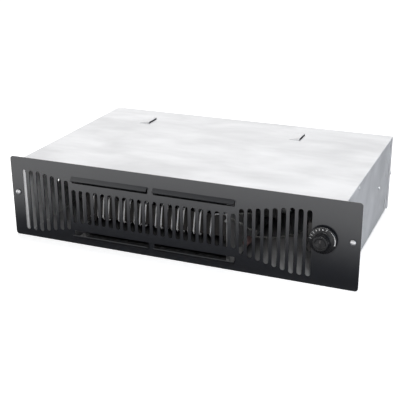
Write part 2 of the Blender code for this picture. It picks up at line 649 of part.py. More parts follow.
# ---- casing -----------------------------------------------------------------
def make_chassis():
    half = SIDE_OUT - SHEET / 2
    base = CASING_BOTTOM + SHEET / 2
    top = COVER_UNDER - GAP
    profile = [(-half, CASING_FRONT, top), (-half, CASING_FRONT, base),
               (half, CASING_FRONT, base), (half, CASING_FRONT, top)]
    rear = REAR_INNER - GAP
    pan = folded("chassis_pan", profile, (0, rear - CASING_FRONT, 0), GALVANISED)
    for side, sign in (("left", -1), ("right", 1)):
        near, far = sorted((sign * (SIDE_IN + SHEET * 0.4), sign * (SIDE_OUT + EAR_REACH)))
        fuse(pan, box(f"ear_{side}", (near, CASING_FRONT, FLOOR_TOP + SHEET),
                      (far, CASING_FRONT + SHEET, CASING_TOP - COVER_LIP - GAP)))
    for side, sign in (("left", -1), ("right", 1)):
        near, far = sorted((sign * (SIDE_IN - SHEET), sign * (SIDE_OUT + SHEET)))
        screw_x = sign * (GRILLE_RIGHT - GRILLE_SCREW_INSET)
        holes = [rod(f"ear_hole_{side}", (screw_x, 0, GRILLE_SCREW_Z), 4 * CASING_FRONT,
                     GRILLE_SCREW_RADIUS + HOLE_GAP, "Y", sides=SMALL_SIDES)]
        width, height = SIDE_SLOT_SIZE
        for index, centre_z in enumerate(SIDE_SLOT_HEIGHTS):
            holes.append(box(f"side_slot_{index}_{side}",
                             (near, SIDE_SLOT_Y - width / 2, centre_z - height / 2),
                             (far, SIDE_SLOT_Y + width / 2, centre_z + height / 2)))
        notch_low = CASING_BOTTOM + NOTCH_RISE
        holes.append(box(f"side_notch_{side}", (near, NOTCH_Y - NOTCH_SIZE[0] / 2, notch_low),
                         (far, NOTCH_Y + NOTCH_SIZE[0] / 2, notch_low + NOTCH_SIZE[1])))
        holes.append(rod(f"cover_rivet_hole_{side}", (near, COVER_RIVET_Y, COVER_RIVET_Z), far - near,
                         RIVET_SHANK_RADIUS + HOLE_GAP, "X", sides=SMALL_SIDES))
        holes.append(rod(f"rear_screw_hole_{side}", (near, REAR_SCREW_Y, REAR_SCREW_Z), far - near,
                         REAR_SCREW_RADIUS + HOLE_GAP, "X", sides=SMALL_SIDES))
        cut(pan, *holes)
    cut(pan, rod("compartment_rivet_hole", (SIDE_IN - SHEET, COMPARTMENT_RIVET_Y, COMPARTMENT_RIVET_Z),
                 3 * SHEET, RIVET_SHANK_RADIUS + HOLE_GAP, "X", sides=SMALL_SIDES))
    cut(pan, rod("pilot_hole", (-SIDE_OUT - SHEET, PILOT_Y, PILOT_Z), 3 * SHEET, PILOT_RADIUS, "X",
                 sides=SMALL_SIDES))
    cut(pan, rod("earth_hole", (EARTH_X, EARTH_Y, 0), 2 * FLOOR_TOP, EARTH_RADIUS + HOLE_GAP, "Z",
                 sides=SMALL_SIDES))


def make_cover():
    half = CASING_HALF - SHEET / 2
    sheet_z = CASING_TOP - SHEET / 2
    lip_z = CASING_TOP - COVER_LIP
    profile = [(-half, CASING_FRONT, lip_z), (-half, CASING_FRONT, sheet_z),
               (half, CASING_FRONT, sheet_z), (half, CASING_FRONT, lip_z)]
    lip_end = CASING_DEPTH - REAR_FLANGE - GAP
    cover = folded("top_cover", profile, (0, CASING_DEPTH - CASING_FRONT, 0), GALVANISED)
    for side, sign in (("left", -1), ("right", 1)):
        near, far = sorted((sign * (SIDE_OUT + GAP / 2), sign * (CASING_HALF + SHEET)))
        cut(cover, box(f"lip_end_{side}", (near, lip_end, lip_z - SHEET),
                       (far, CASING_DEPTH + SHEET, COVER_UNDER - GAP / 2)))
        cut(cover, rod(f"cover_lip_hole_{side}", (near, COVER_RIVET_Y, COVER_RIVET_Z), far - near,
                       RIVET_SHANK_RADIUS + HOLE_GAP, "X", sides=SMALL_SIDES))
    add_lance(cover, "left", GRILLE_LEFT + LANCE_LEFT)
    add_lance(cover, "right", GRILLE_RIGHT - LANCE_RIGHT)


def wedge(name, left, right, half_length, low, high_left, high_right, taper):
    """A block over the cover whose top rises from its -X edge to its +X edge, with sloping ends."""
    bm = bmesh.new()
    bmesh.ops.create_cube(bm, size=1.0)
    for corner in bm.verts:
        is_high, is_right = corner.co.z > 0, corner.co.x > 0
        reach = half_length - (taper if is_high and is_right else 0)
        corner.co.x = right if is_right else left
        corner.co.y = reach if corner.co.y > 0 else -reach
        corner.co.z = (high_right if is_right else high_left) if is_high else low
    bmesh.ops.triangulate(bm, faces=bm.faces)
    return place(name, mesh_from(bm, name), None, (0, LANCE_Y, CASING_TOP))


def add_lance(cover, side, centre_x):
    """A raised lance in the cover: a hood of sheet, open towards +X."""
    left, right = centre_x - LANCE_WIDTH / 2, centre_x + LANCE_WIDTH / 2
    half = LANCE_LENGTH / 2
    rise = 0.0002
    fuse(cover, wedge(f"lance_outer_{side}", left, right, half, -SHEET / 2, rise, LANCE_HEIGHT, LANCE_HEIGHT))
    cut(cover, wedge(f"lance_inner_{side}", left + SHEET / 2, right + SHEET, half - SHEET, -2 * SHEET,
                     rise - SHEET, LANCE_HEIGHT - SHEET, LANCE_HEIGHT - SHEET))


def make_rear_panel():
    half = CASING_HALF - SHEET / 2
    front = CASING_DEPTH - REAR_FLANGE
    plate_y = CASING_DEPTH - SHEET / 2
    profile = [(-half, front, CASING_BOTTOM), (-half, plate_y, CASING_BOTTOM),
               (half, plate_y, CASING_BOTTOM), (half, front, CASING_BOTTOM)]
    panel = folded("rear_panel", profile, (0, 0, COVER_UNDER - GAP - CASING_BOTTOM), GALVANISED)
    cut(panel, rod("cable_hole", (CABLE_X, REAR_INNER - SHEET, CABLE_Z), 3 * SHEET,
                   CABLE_HOLE_RADIUS, "Y"))
    for side, sign in (("left", -1), ("right", 1)):
        near, far = sorted((sign * (SIDE_OUT - SHEET * 0.2), sign * (CASING_HALF + SHEET)))
        cut(panel, rod(f"flange_hole_{side}", (near, REAR_SCREW_Y, REAR_SCREW_Z), far - near,
                       REAR_SCREW_RADIUS + HOLE_GAP, "X", sides=SMALL_SIDES))
        near, far = sorted((sign * (SIDE_IN - SHEET - CORNER_WINDOW_WIDTH), sign * (SIDE_IN - SHEET)))
        for index, (low, high) in enumerate(CORNER_WINDOWS):
            cut(panel, box(f"corner_window_{index}_{side}", (near, REAR_INNER - SHEET, low),
                           (far, CASING_DEPTH + SHEET, high)))


def rivet(name, start, sign, grip):
    """A blind rivet through the casing's side: a domed head outside and a set end inside."""
    dome = [(0, -RIVET_HEAD_HEIGHT), (RIVET_HEAD_RADIUS * 0.6, -RIVET_HEAD_HEIGHT * 0.85),
            (RIVET_HEAD_RADIUS, -RIVET_HEAD_HEIGHT * 0.25), (RIVET_HEAD_RADIUS, 0), (RIVET_SHANK_RADIUS, 0),
            (RIVET_SHANK_RADIUS, grip), (RIVET_SHANK_RADIUS * 1.5, grip),
            (RIVET_SHANK_RADIUS * 1.5, grip + 0.002), (0, grip + 0.0024)]
    piece = turned(name, dome, start, "X", BRIGHT_STEEL, sides=SMALL_SIDES)
    piece.rotation_euler = (0, -sign * math.pi / 2, 0)
    return piece


def make_rivets():
    grip = 2 * SHEET + 3 * GAP
    for side, sign in (("left", -1), ("right", 1)):
        rivet(f"cover_rivet_{side}", (sign * (CASING_HALF + GAP), COVER_RIVET_Y, COVER_RIVET_Z), sign, grip)
        name = f"rear_panel_screw_{side}"
        piece = screw(name, (sign * (CASING_HALF + GAP), REAR_SCREW_Y, REAR_SCREW_Z), "X", REAR_SCREW_HEAD,
                      REAR_SCREW_HEAD_HEIGHT, REAR_SCREW_RADIUS, REAR_SCREW_LENGTH)
        piece.rotation_euler = (0, -sign * math.pi / 2, 0)
    rivet("compartment_rivet", (SIDE_OUT + GAP, COMPARTMENT_RIVET_Y, COMPARTMENT_RIVET_Z), 1, grip)


# ---- duct -------------------------------------------------------------------
def make_duct_plates():
    for side, face, foot_sign in (("left", DUCT_LEFT_OUT, -1), ("right", DUCT_RIGHT_OUT, 1)):
        middle = face - foot_sign * DUCT_SHEET / 2
        foot_z = DUCT_BASE + DUCT_SHEET / 2
        profile = [(middle, DUCT_FRONT, DUCT_TOP), (middle, DUCT_FRONT, foot_z),
                   (face + foot_sign * DUCT_FOOT, DUCT_FRONT, foot_z)]
        plate = folded(f"duct_plate_{side}", profile, (0, DUCT_REAR - DUCT_FRONT, 0), GALVANISED,
                       thickness=DUCT_SHEET)
        low = middle - DUCT_SHEET * 2
        if side == "left":
            cut(plate, rod("grommet_hole", (low, BLOWER_Y, BLOWER_Z), DUCT_SHEET * 4,
                           GROMMET_RADIUS - GROMMET_GROOVE + GAP, "X"))
        else:
            cut(plate, rod("shaft_hole", (low, BLOWER_Y, BLOWER_Z), DUCT_SHEET * 4,
                           BRACKET_BOSS_RADIUS + GAP, "X"))
            for index, sign in enumerate((-1, 1)):
                cut(plate, rod(f"motor_screw_hole_{index}",
                               (low, BLOWER_Y, BLOWER_Z + sign * MOTOR_SCREW_OFFSET), DUCT_SHEET * 4,
                               MOTOR_SCREW_RADIUS + HOLE_GAP, "X", sides=SMALL_SIDES))
            for level, stud_z in (("high", TERMINAL_HIGH_Z), ("low", TERMINAL_LOW_Z)):
                cut(plate, rod(f"lead_port_{level}", (low, LEAD_PORT_Y, stud_z), DUCT_SHEET * 4,
                               LEAD_RADIUS + 2 * HOLE_GAP, "X", sides=SMALL_SIDES))


def polar(radius, degrees):
    """A point round the blower's axis, as (Y, Z); 0 degrees is towards the rear, 90 is up."""
    angle = math.radians(degrees)
    return BLOWER_Y + radius * math.cos(angle), BLOWER_Z + radius * math.sin(angle)


def make_scroll():
    """The spiral wall behind and under the wheel, which runs on as the duct's floor."""
    steps = 10
    start_radius = WHEEL_RADIUS + DISC_RIM + SCROLL_START_GAP
    end_radius = WHEEL_RADIUS + DISC_RIM + SCROLL_END_GAP
    line = [polar(start_radius + SCROLL_LIP, SCROLL_START + 10)]
    for step in range(steps + 1):
        share = step / steps
        line.append(polar(start_radius + (end_radius - start_radius) * share,
                          SCROLL_START - SCROLL_SWEEP * share))
    line.append((SCROLL_END_Y, MOUTH_LOW - DUCT_SHEET / 2))
    line.append((DUCT_FRONT, MOUTH_LOW - DUCT_SHEET / 2))
    left = DUCT_LEFT_IN + GAP
    profile = [(left, y, z) for y, z in line]
    folded("scroll_wall", profile, (DUCT_RIGHT_IN - GAP - left, 0, 0), GALVANISED, thickness=DUCT_SHEET)


def make_roof():
    """The duct's roof, whose rear edge curls down to the wheel as the vortex tongue."""
    tongue_radius = WHEEL_RADIUS + DISC_RIM + TONGUE_GAP + DUCT_SHEET / 2
    line = [polar(tongue_radius, 150), polar(tongue_radius + 0.0005, 138), polar(tongue_radius + 0.003, 127)]
    line.append((BLOWER_Y - WHEEL_RADIUS, MOUTH_HIGH + TONGUE_RISE))
    line.append((ROOF_BEND_Y, MOUTH_HIGH + DUCT_SHEET / 2))
    line.append((DUCT_FRONT, MOUTH_HIGH + DUCT_SHEET / 2))
    left = DUCT_LEFT_IN + GAP
    profile = [(left, y, z) for y, z in line]
    folded("duct_roof", profile, (DUCT_RIGHT_IN - GAP - left, 0, 0), GALVANISED, thickness=DUCT_SHEET)


# ---- blower -----------------------------------------------------------------
def blade_outline():
    """One forward-curved blade's section round the axis, as (Y, Z) from the axis."""
    middle = (BLADE_INNER_RADIUS + WHEEL_RADIUS) / 2
    stations = ((BLADE_INNER_RADIUS, 0.0), (middle, 3.2), (WHEEL_RADIUS, 10.5))
    outer, inner = [], []
    for radius, degrees in stations:
        half = math.degrees(BLADE_THICKNESS / 2 / radius)
        for side, points in ((half, outer), (-half, inner)):
            angle = math.radians(degrees + side)
            points.append((radius * math.cos(angle), radius * math.sin(angle)))
    return outer[::-1] + inner


def make_wheel():
    hub_bore = SHAFT_RADIUS + HOLE_GAP
    rim = WHEEL_RADIUS + DISC_RIM
    right_disc = [(hub_bore, 0), (rim, 0), (rim, DISC_THICKNESS), (HUB_RADIUS, DISC_THICKNESS),
                  (HUB_RADIUS, HUB_LENGTH), (hub_bore, HUB_LENGTH)]
    wheel = turned("blower_wheel", right_disc, (WHEEL_RIGHT, 0, 0), "X", ALUMINIUM, BLOWER_AXIS,
                   sides=BLADE_COUNT)
    wheel.rotation_euler = (0, -math.pi / 2, 0)
    left_disc = turned("wheel_left_disc", right_disc, (WHEEL_LEFT, 0, 0), "X", None, BLOWER_AXIS,
                       sides=BLADE_COUNT)
    middle_disc = rod("wheel_middle_disc", (DUCT_MIDDLE - DISC_THICKNESS / 2, 0, 0), DISC_THICKNESS,
                      rim, "X", None, BLOWER_AXIS, sides=BLADE_COUNT)
    cut(middle_disc, rod("wheel_middle_eye", (DUCT_MIDDLE - DISC_THICKNESS, 0, 0), 2 * DISC_THICKNESS,
                         WHEEL_EYE, "X", None, BLOWER_AXIS, sides=BLADE_COUNT))
    blade = prisms("blade", [blade_outline()], 0, WHEEL_RIGHT - WHEEL_LEFT - DISC_THICKNESS)
    blade.transform(SIDEWAYS)
    bm = bmesh.new()
    for index in range(BLADE_COUNT):
        start = len(bm.verts)
        bm.from_mesh(blade)
        bm.verts.ensure_lookup_table()
        turn = Matrix.Rotation(2 * math.pi * index / BLADE_COUNT, 4, "X")
        bmesh.ops.transform(bm, matrix=turn, verts=bm.verts[start:])
    blades = place("wheel_blades", mesh_from(bm, "wheel_blades"), None,
                   (WHEEL_LEFT + DISC_THICKNESS / 2, 0, 0), BLOWER_AXIS)
    fuse(wheel, left_disc, blades, middle_disc)


def make_rotor():
    """The two stub shafts, the rotor and its cooling fan, all on the blower's axis."""
    fan_x = STACK_END + MOTOR_SPAN + COOLING_FAN_CLEARANCE
    far = fan_x + COOLING_FAN_LENGTH + 0.001
    start = WHEEL_RIGHT - HUB_LENGTH - 0.001
    rod("motor_shaft", (start, 0, 0), far - start, SHAFT_RADIUS, "X", BRIGHT_STEEL, BLOWER_AXIS)
    stub = DUCT_LEFT_OUT - STUB_REACH
    rod("stub_axle", (stub, 0, 0), WHEEL_LEFT + HUB_LENGTH + 0.001 - stub, SHAFT_RADIUS, "X",
        BRIGHT_STEEL, BLOWER_AXIS)
    bore = SHAFT_RADIUS + HOLE_GAP / 2
    turned("rotor_core", [(bore, 0), (ROTOR_RADIUS - 0.0015, 0), (ROTOR_RADIUS, 0.0015),
                          (ROTOR_RADIUS, STACK_LENGTH - 0.0015), (ROTOR_RADIUS - 0.0015, STACK_LENGTH),
                          (bore, STACK_LENGTH)],
           (STACK_X, 0, 0), "X", LAMINATION, BLOWER_AXIS)
    disc_radius = COOLING_FAN_RADIUS * 0.9
    fan = turned("motor_cooling_fan",
                 [(bore, 0), (disc_radius, 0), (disc_radius, COOLING_FAN_DISC),
                  (COOLING_FAN_HUB, COOLING_FAN_DISC), (COOLING_FAN_HUB, COOLING_FAN_LENGTH),
                  (bore, COOLING_FAN_LENGTH)],
                 (fan_x, 0, 0), "X", BLACK_PLASTIC, BLOWER_AXIS)
    root = COOLING_FAN_HUB - 0.0008
    half = COOLING_FAN_DISC / 2
    for index in range(COOLING_FAN_BLADES):
        vane = box(f"vane_{index}", (0, -half, root), (VANE_LENGTH, half, COOLING_FAN_RADIUS), None,
                   BLOWER_AXIS)
        vane.data.transform(Matrix.Translation((0, 0, (root + COOLING_FAN_RADIUS) / 2)))
        vane.location = (fan_x + half + VANE_LENGTH / 2, 0, 0)
        vane.rotation_euler = (2 * math.pi * index / COOLING_FAN_BLADES, 0, 0)
        fuse(fan, vane)


def bearing_outline(length):
    bore = SHAFT_RADIUS + HOLE_GAP / 2
    return [(bore, 0), (BEARING_RADIUS, 0), (BEARING_RADIUS, length), (bore, length)]


def make_left_bearing():
    """A plain bush in a rubber grommet, held in the left duct plate."""
    groove = GROMMET_RADIUS - GROMMET_GROOVE
    flank = GROMMET_FLANK
    bore = BEARING_RADIUS + GAP / 2
    waist = DUCT_SHEET + 2 * GAP
    turned("bearing_grommet",
           [(bore, 0), (GROMMET_RADIUS, 0), (GROMMET_RADIUS, flank), (groove, flank),
            (groove, flank + waist), (GROMMET_RADIUS, flank + waist), (GROMMET_RADIUS, 2 * flank + waist),
            (bore, 2 * flank + waist)],
           (DUCT_LEFT_OUT - GAP - flank, BLOWER_Y, BLOWER_Z), "X", RUBBER)
    turned("stub_bearing", bearing_outline(STUB_BEARING_LENGTH),
           (DUCT_LEFT_OUT - GAP - flank, BLOWER_Y, BLOWER_Z), "X", BRONZE)


# ---- motor ------------------------------------------------------------------
def make_stator():
    outer = [(-STACK_HALF, -STACK_HALF), (STACK_LEG, -STACK_HALF), (STACK_LEG, STACK_HALF),
             (-STACK_HALF, STACK_HALF)]
    leg = STACK_LEG - LEG_WIDTH
    window = [(WINDOW_NEAR, -WINDOW_HALF), (leg, -WINDOW_HALF), (leg, WINDOW_HALF),
              (WINDOW_NEAR, WINDOW_HALF)]
    loops = [outer, circle((0, 0), ROTOR_RADIUS + RUNNING_GAP), window]
    for sign in (-1, 1):
        loops.append(circle((0, sign * MOTOR_SCREW_OFFSET), MOTOR_SCREW_RADIUS + HOLE_GAP, SMALL_SIDES))
    side_plate("stator_core", loops, STACK_LENGTH, STACK_X, LAMINATION, at=(BLOWER_Y, BLOWER_Z))
    spool_half = WINDOW_HALF - GAP
    near = leg - WINDING_WALL
    far = STACK_LEG + WINDING_WALL
    side = WINDING_WALL
    winding = box("stator_winding", (STACK_X - side, BLOWER_Y + near, BLOWER_Z - spool_half),
                  (STACK_END + side, BLOWER_Y + far, BLOWER_Z + spool_half), WINDING_TAPE)
    edge = winding.modifiers.new("rounded", "BEVEL")
    edge.width = WINDING_EDGE
    edge.segments = 2
    cut(winding, box("leg_space", (STACK_X - GAP, BLOWER_Y + leg - GAP, BLOWER_Z - STACK_HALF),
                     (STACK_END + GAP, BLOWER_Y + STACK_LEG + GAP, BLOWER_Z + STACK_HALF)))


def make_brackets():
    """Two cast bridges across the stator that hold the shaft's bearings."""
    reach = MOTOR_SCREW_OFFSET + BRACKET_WIDTH / 2
    for name, face, sign in (("inner", STACK_X, -1), ("outer", STACK_END, 1)):
        near = face + sign * 2 * GAP
        bridge_near = face + sign * (MOTOR_SPAN - BRACKET_THICKNESS)
        bridge_far = face + sign * MOTOR_SPAN
        low, high = sorted((bridge_near, bridge_far))
        bracket = box(f"motor_bracket_{name}", (low, BLOWER_Y - BRACKET_WIDTH / 2, BLOWER_Z - reach),
                      (high, BLOWER_Y + BRACKET_WIDTH / 2, BLOWER_Z + reach), ALUMINIUM)
        feet = []
        foot_end = bridge_near + sign * BRACKET_THICKNESS / 4
        foot_x = min(face + sign * GAP, foot_end)
        length = abs(foot_end - face) - GAP
        for index, side in enumerate((-1, 1)):
            feet.append(rod(f"bracket_foot_{name}_{index}",
                            (foot_x, BLOWER_Y, BLOWER_Z + side * MOTOR_SCREW_OFFSET),
                            length, BRACKET_FOOT_RADIUS, "X"))
        boss_end = bridge_far + sign * BRACKET_THICKNESS / 4
        boss_low = min(near, boss_end)
        boss_length = abs(boss_end - near)
        boss = rod(f"bracket_boss_{name}", (boss_low, BLOWER_Y, BLOWER_Z), boss_length,
                   BRACKET_BOSS_RADIUS, "X")
        bore = rod(f"bracket_bore_{name}", (boss_low - 0.001, BLOWER_Y, BLOWER_Z), boss_length + 0.002,
                   BEARING_RADIUS + GAP / 2, "X")
        fuse(bracket, *feet, boss)
        cut(bracket, bore)
        for index, side in enumerate((-1, 1)):
            cut(bracket, rod(f"bracket_hole_{name}_{index}",
                             (face + sign * MOTOR_SPAN / 2 - MOTOR_SPAN, BLOWER_Y,
                              BLOWER_Z + side * MOTOR_SCREW_OFFSET),
                             2 * MOTOR_SPAN, MOTOR_SCREW_RADIUS + HOLE_GAP, "X", sides=SMALL_SIDES))
        turned(f"motor_bearing_{name}", bearing_outline(MOTOR_BEARING_LENGTH),
               (boss_low + (boss_length - MOTOR_BEARING_LENGTH) / 2, BLOWER_Y, BLOWER_Z), "X", BRONZE)


def make_motor_mount():
    """Spacers between the right duct plate and the inner bracket, and the two long screws."""
    near = DUCT_RIGHT_OUT + GAP
    far = STACK_X - MOTOR_SPAN - GAP
    for level, sign in (("low", -1), ("high", 1)):
        centre_z = BLOWER_Z + sign * MOTOR_SCREW_OFFSET
        bore = MOTOR_SCREW_RADIUS + HOLE_GAP
        turned(f"motor_spacer_{level}", [(bore, 0), (SPACER_RADIUS, 0), (SPACER_RADIUS, far - near),
                                         (bore, far - near)],
               (near, BLOWER_Y, centre_z), "X", RUBBER)
        start = STACK_END + MOTOR_SPAN + GAP
        length = start - DUCT_RIGHT_IN + 0.003
        piece = screw(f"motor_screw_{level}", (start, BLOWER_Y, centre_z), "X", MOTOR_SCREW_HEAD,
                      MOTOR_SCREW_HEAD_HEIGHT, MOTOR_SCREW_RADIUS, length, arms=1)
        piece.rotation_euler = (0, -math.pi / 2, 0)


# ---- element ----------------------------------------------------------------
def coil_point(turn):
    """A point of the flattened helix after so many turns; it passes the front half way up each curl."""
    angle = 2 * math.pi * turn
    return Vector((COIL_START_X + COIL_PITCH * turn, COIL_Y - COIL_HALF_DEPTH * math.cos(angle),
                   COIL_Z + COIL_HALF_HEIGHT * math.sin(angle)))


def make_coil():
    """The heating wire: one helix, with straight tails at its front to the end terminals."""
    first = -0.15
    last = COIL_CURLS - 0.88
    count = round((last - first) * COIL_POINTS)
    body = [coil_point(first + (last - first) * step / count) for step in range(count + 1)]
    left_tail = Vector((LEFT_STUD_X + STUD_HEAD_RADIUS + TAIL_GAP, TAIL_Y, body[0].z))
    right_tail = Vector((TERMINAL_X - STUD_HEAD_RADIUS - TAIL_GAP, TAIL_Y, TERMINAL_HIGH_Z))
    start = [left_tail, left_tail.lerp(body[0], 0.5)]
    bend = body[-1].lerp(right_tail, 0.35)
    bend.z = TERMINAL_HIGH_Z
    path = start + body + [bend, right_tail]
    tube("heating_coil", path, COIL_WIRE_RADIUS, RESISTANCE_WIRE, resolution=1)
    report_least_gap(body)


def report_least_gap(points):
    """Prints the least gap between the wire's surface and itself, one half curl or more apart."""
    least = min((one - two).length for index, one in enumerate(points)
                for two in points[index + COIL_POINTS // 2:])
    print(f"heating coil: least gap to itself {(least - 2 * COIL_WIRE_RADIUS) * 1000:.2f} mm")


def make_mica():
    """The board through the coil, with taller tabs at both ends that carry the terminals."""
    half = COIL_HALF_HEIGHT - COIL_WIRE_RADIUS - MICA_CLEARANCE
    left = DUCT_LEFT_IN + GAP
    right = DUCT_RIGHT_IN - GAP
    low, high = COIL_Z - half, COIL_Z + half
    tab_low, tab_high = COIL_Z - COIL_HALF_HEIGHT - MICA_TAB_LOW, COIL_Z + COIL_HALF_HEIGHT + MICA_TAB_HIGH
    right_tab = TERMINAL_X - STUD_HEAD_RADIUS - MICA_CLEARANCE
    outline = [(left, tab_low), (left + MICA_TAB, tab_low), (left + MICA_TAB, low), (right_tab, low),
               (right_tab, tab_low), (right, tab_low), (right, tab_high), (right_tab, tab_high),
               (right_tab, high), (left + MICA_TAB, high), (left + MICA_TAB, tab_high), (left, tab_high)]
    holes = [circle(spot, STUD_RADIUS + GAP, SMALL_SIDES) for spot in
             ((LEFT_STUD_X, LEFT_STUD_Z), (TERMINAL_X, TERMINAL_HIGH_Z), (TERMINAL_X, TERMINAL_LOW_Z))]
    upright_plate("mica_board", [outline] + holes, MICA_THICKNESS, MICA_Y + MICA_THICKNESS / 2, MICA)


def make_studs():
    head = STUD_HEAD_HEIGHT
    profile = [(0, -head), (STUD_HEAD_RADIUS * 0.7, -head), (STUD_HEAD_RADIUS, -head * 0.85),
               (STUD_HEAD_RADIUS, 0), (STUD_RADIUS, 0), (STUD_RADIUS, STUD_LENGTH), (0, STUD_LENGTH)]
    for name, spot in (("element_stud_left", (LEFT_STUD_X, STUD_FACE, LEFT_STUD_Z)),
                       ("element_stud_high", (TERMINAL_X, STUD_FACE, TERMINAL_HIGH_Z)),
                       ("element_stud_low", (TERMINAL_X, STUD_FACE, TERMINAL_LOW_Z))):
        turned(name, profile, spot, "Y", BRIGHT_STEEL, sides=SMALL_SIDES)


def make_return_wire():
    """The bare conductor behind the board, from the left stud to the lower right stud."""
    depth = MICA_Y + MICA_THICKNESS / 2 + RETURN_WIRE_GAP + RETURN_WIRE_RADIUS
    reach = STUD_RADIUS + RETURN_WIRE_RADIUS + GAP
    run_z = COIL_Z - RETURN_WIRE_DROP
    knots = [(LEFT_STUD_X + reach, depth, LEFT_STUD_Z),
             (LEFT_STUD_X + MICA_TAB / 2, depth, (LEFT_STUD_Z + 2 * run_z) / 3),
             (LEFT_STUD_X + MICA_TAB, depth, run_z), (DUCT_MIDDLE, depth, run_z),
             (TERMINAL_X - MICA_TAB, depth, run_z), (TERMINAL_X - reach, depth, TERMINAL_LOW_Z)]
    tube("element_return_wire", smooth_route(knots, 2 * LEAD_STEP), RETURN_WIRE_RADIUS, RESISTANCE_WIRE,
         resolution=1)


def make_limiter():
    """The limit thermostat: a disc in a flanged can on the right duct plate."""
    base = DUCT_RIGHT_OUT + GAP
    brim = TAG_THICKNESS
    profile = [(0, 0), (LIMITER_FLANGE, 0), (LIMITER_FLANGE, brim), (LIMITER_RADIUS, brim),
               (LIMITER_RADIUS, LIMITER_HEIGHT - 0.0015), (LIMITER_RADIUS - 0.0015, LIMITER_HEIGHT),
               (0, LIMITER_HEIGHT)]
    can = turned("limit_thermostat", profile, (base, LIMITER_Y, LIMITER_Z), "X", DARK_PHENOLIC)
    for index, sign in enumerate((-1, 1)):
        centre = LIMITER_Z + sign * LIMITER_TAG_OFFSET
        tag = box(f"limiter_tag_{index}",
                  (base + LIMITER_HEIGHT - 0.001, LIMITER_Y - TAG_WIDTH / 2, centre - TAG_THICKNESS / 2),
                  (base + LIMITER_REACH, LIMITER_Y + TAG_WIDTH / 2, centre + TAG_THICKNESS / 2))
        fuse(can, tag)


# ---- thermostat -------------------------------------------------------------
def make_thermostat():
    width, depth, height = BODY_SIZE
    front = CASING_FRONT
    body = box("thermostat_body", (KNOB_X - width / 2, front, KNOB_Z - height / 2),
               (KNOB_X + width / 2, front + depth, KNOB_Z + height / 2), DARK_PHENOLIC)
    bush = rod("thermostat_bush", (KNOB_X, -NUT_THICKNESS - 2 * GAP, KNOB_Z),
               NUT_THICKNESS + 2 * GAP + 2 * front, BUSH_RADIUS, "Y")
    bore = rod("spindle_bore", (KNOB_X, -KNOB_REACH, KNOB_Z), KNOB_REACH + SPINDLE_INNER + GAP,
               SPINDLE_RADIUS + HOLE_GAP, "Y")
    terminals = []
    for index, sign in enumerate((-1, 1)):
        centre = KNOB_Z + sign * THERMOSTAT_TAG_OFFSET
        terminals.append(box(f"thermostat_tag_{index}",
                             (KNOB_X - TAG_WIDTH / 2, front + depth - 0.001, centre - TAG_THICKNESS / 2),
                             (KNOB_X + TAG_WIDTH / 2, front + depth + THERMOSTAT_TAG,
                              centre + TAG_THICKNESS / 2)))
    fuse(body, bush, *terminals)
    cut(body, bore)
    nut = rod("thermostat_nut", (KNOB_X, -GAP - NUT_THICKNESS, KNOB_Z), NUT_THICKNESS, NUT_WIDTH, "Y",
              BRASS, sides=6)
    cut(nut, rod("nut_bore", (KNOB_X, -KNOB_REACH, KNOB_Z), 2 * KNOB_REACH, BUSH_RADIUS + HOLE_GAP, "Y"))


def make_knob():
    """Knob and spindle hang on the joint's empty; the mark stands at the top of the dial."""
    front = -KNOB_REACH + SPINDLE_SETBACK
    rod("thermostat_spindle", (0, front, 0), SPINDLE_INNER - front, SPINDLE_RADIUS, "Y", BRIGHT_STEEL,
        KNOB_AXIS)
    back = -NUT_THICKNESS - 3 * GAP
    skirt, cap = KNOB_SKIRT_RADIUS, KNOB_CAP_RADIUS
    bore = SPINDLE_RADIUS + GAP
    profile = [(bore, back), (skirt, back), (skirt, back - 0.0012), (skirt - 0.0006, back - 0.0018),
               (cap + 0.0015, -KNOB_SKIRT_FRONT), (cap, -KNOB_SKIRT_FRONT - 0.0008),
               (cap - 0.0006, -KNOB_REACH + 0.0010), (cap - 0.0016, -KNOB_REACH),
               (cap - 0.0030, -KNOB_REACH), (cap - 0.0034, -KNOB_REACH + 0.0008), (0, -KNOB_REACH + 0.0008),
               (0, front - GAP), (bore, front - GAP)]
    knob = turned_ring_with_floor("thermostat_knob", profile)
    mark = box("knob_mark", (-KNOB_MARK_WIDTH / 2, -KNOB_REACH - 0.001, cap * 0.35),
               (KNOB_MARK_WIDTH / 2, -KNOB_REACH + 0.0016, cap * 0.86), None, KNOB_AXIS)
    cut(knob, mark)


def turned_ring_with_floor(name, profile):
    """A turned cup along Y, whose profile closes across the axis near its front."""
    bm = bmesh.new()
    corners = [bm.verts.new((radius, depth, 0)) for radius, depth in profile]
    for index, (one, two) in enumerate(zip(profile, profile[1:])):
        if one[0] > 0 or two[0] > 0:
            bm.edges.new((corners[index], corners[index + 1]))
    bm.edges.new((corners[-1], corners[0]))
    bmesh.ops.spin(bm, geom=bm.verts[:] + bm.edges[:], cent=(0, 0, 0), axis=(0, 1, 0),
                   angle=2 * math.pi, steps=KNOB_SIDES, use_merge=True)
    bmesh.ops.remove_doubles(bm, verts=bm.verts, dist=0.00001)
    return smooth(place(name, mesh_from(bm, name), BLACK_PLASTIC, (0, 0, 0), KNOB_AXIS))


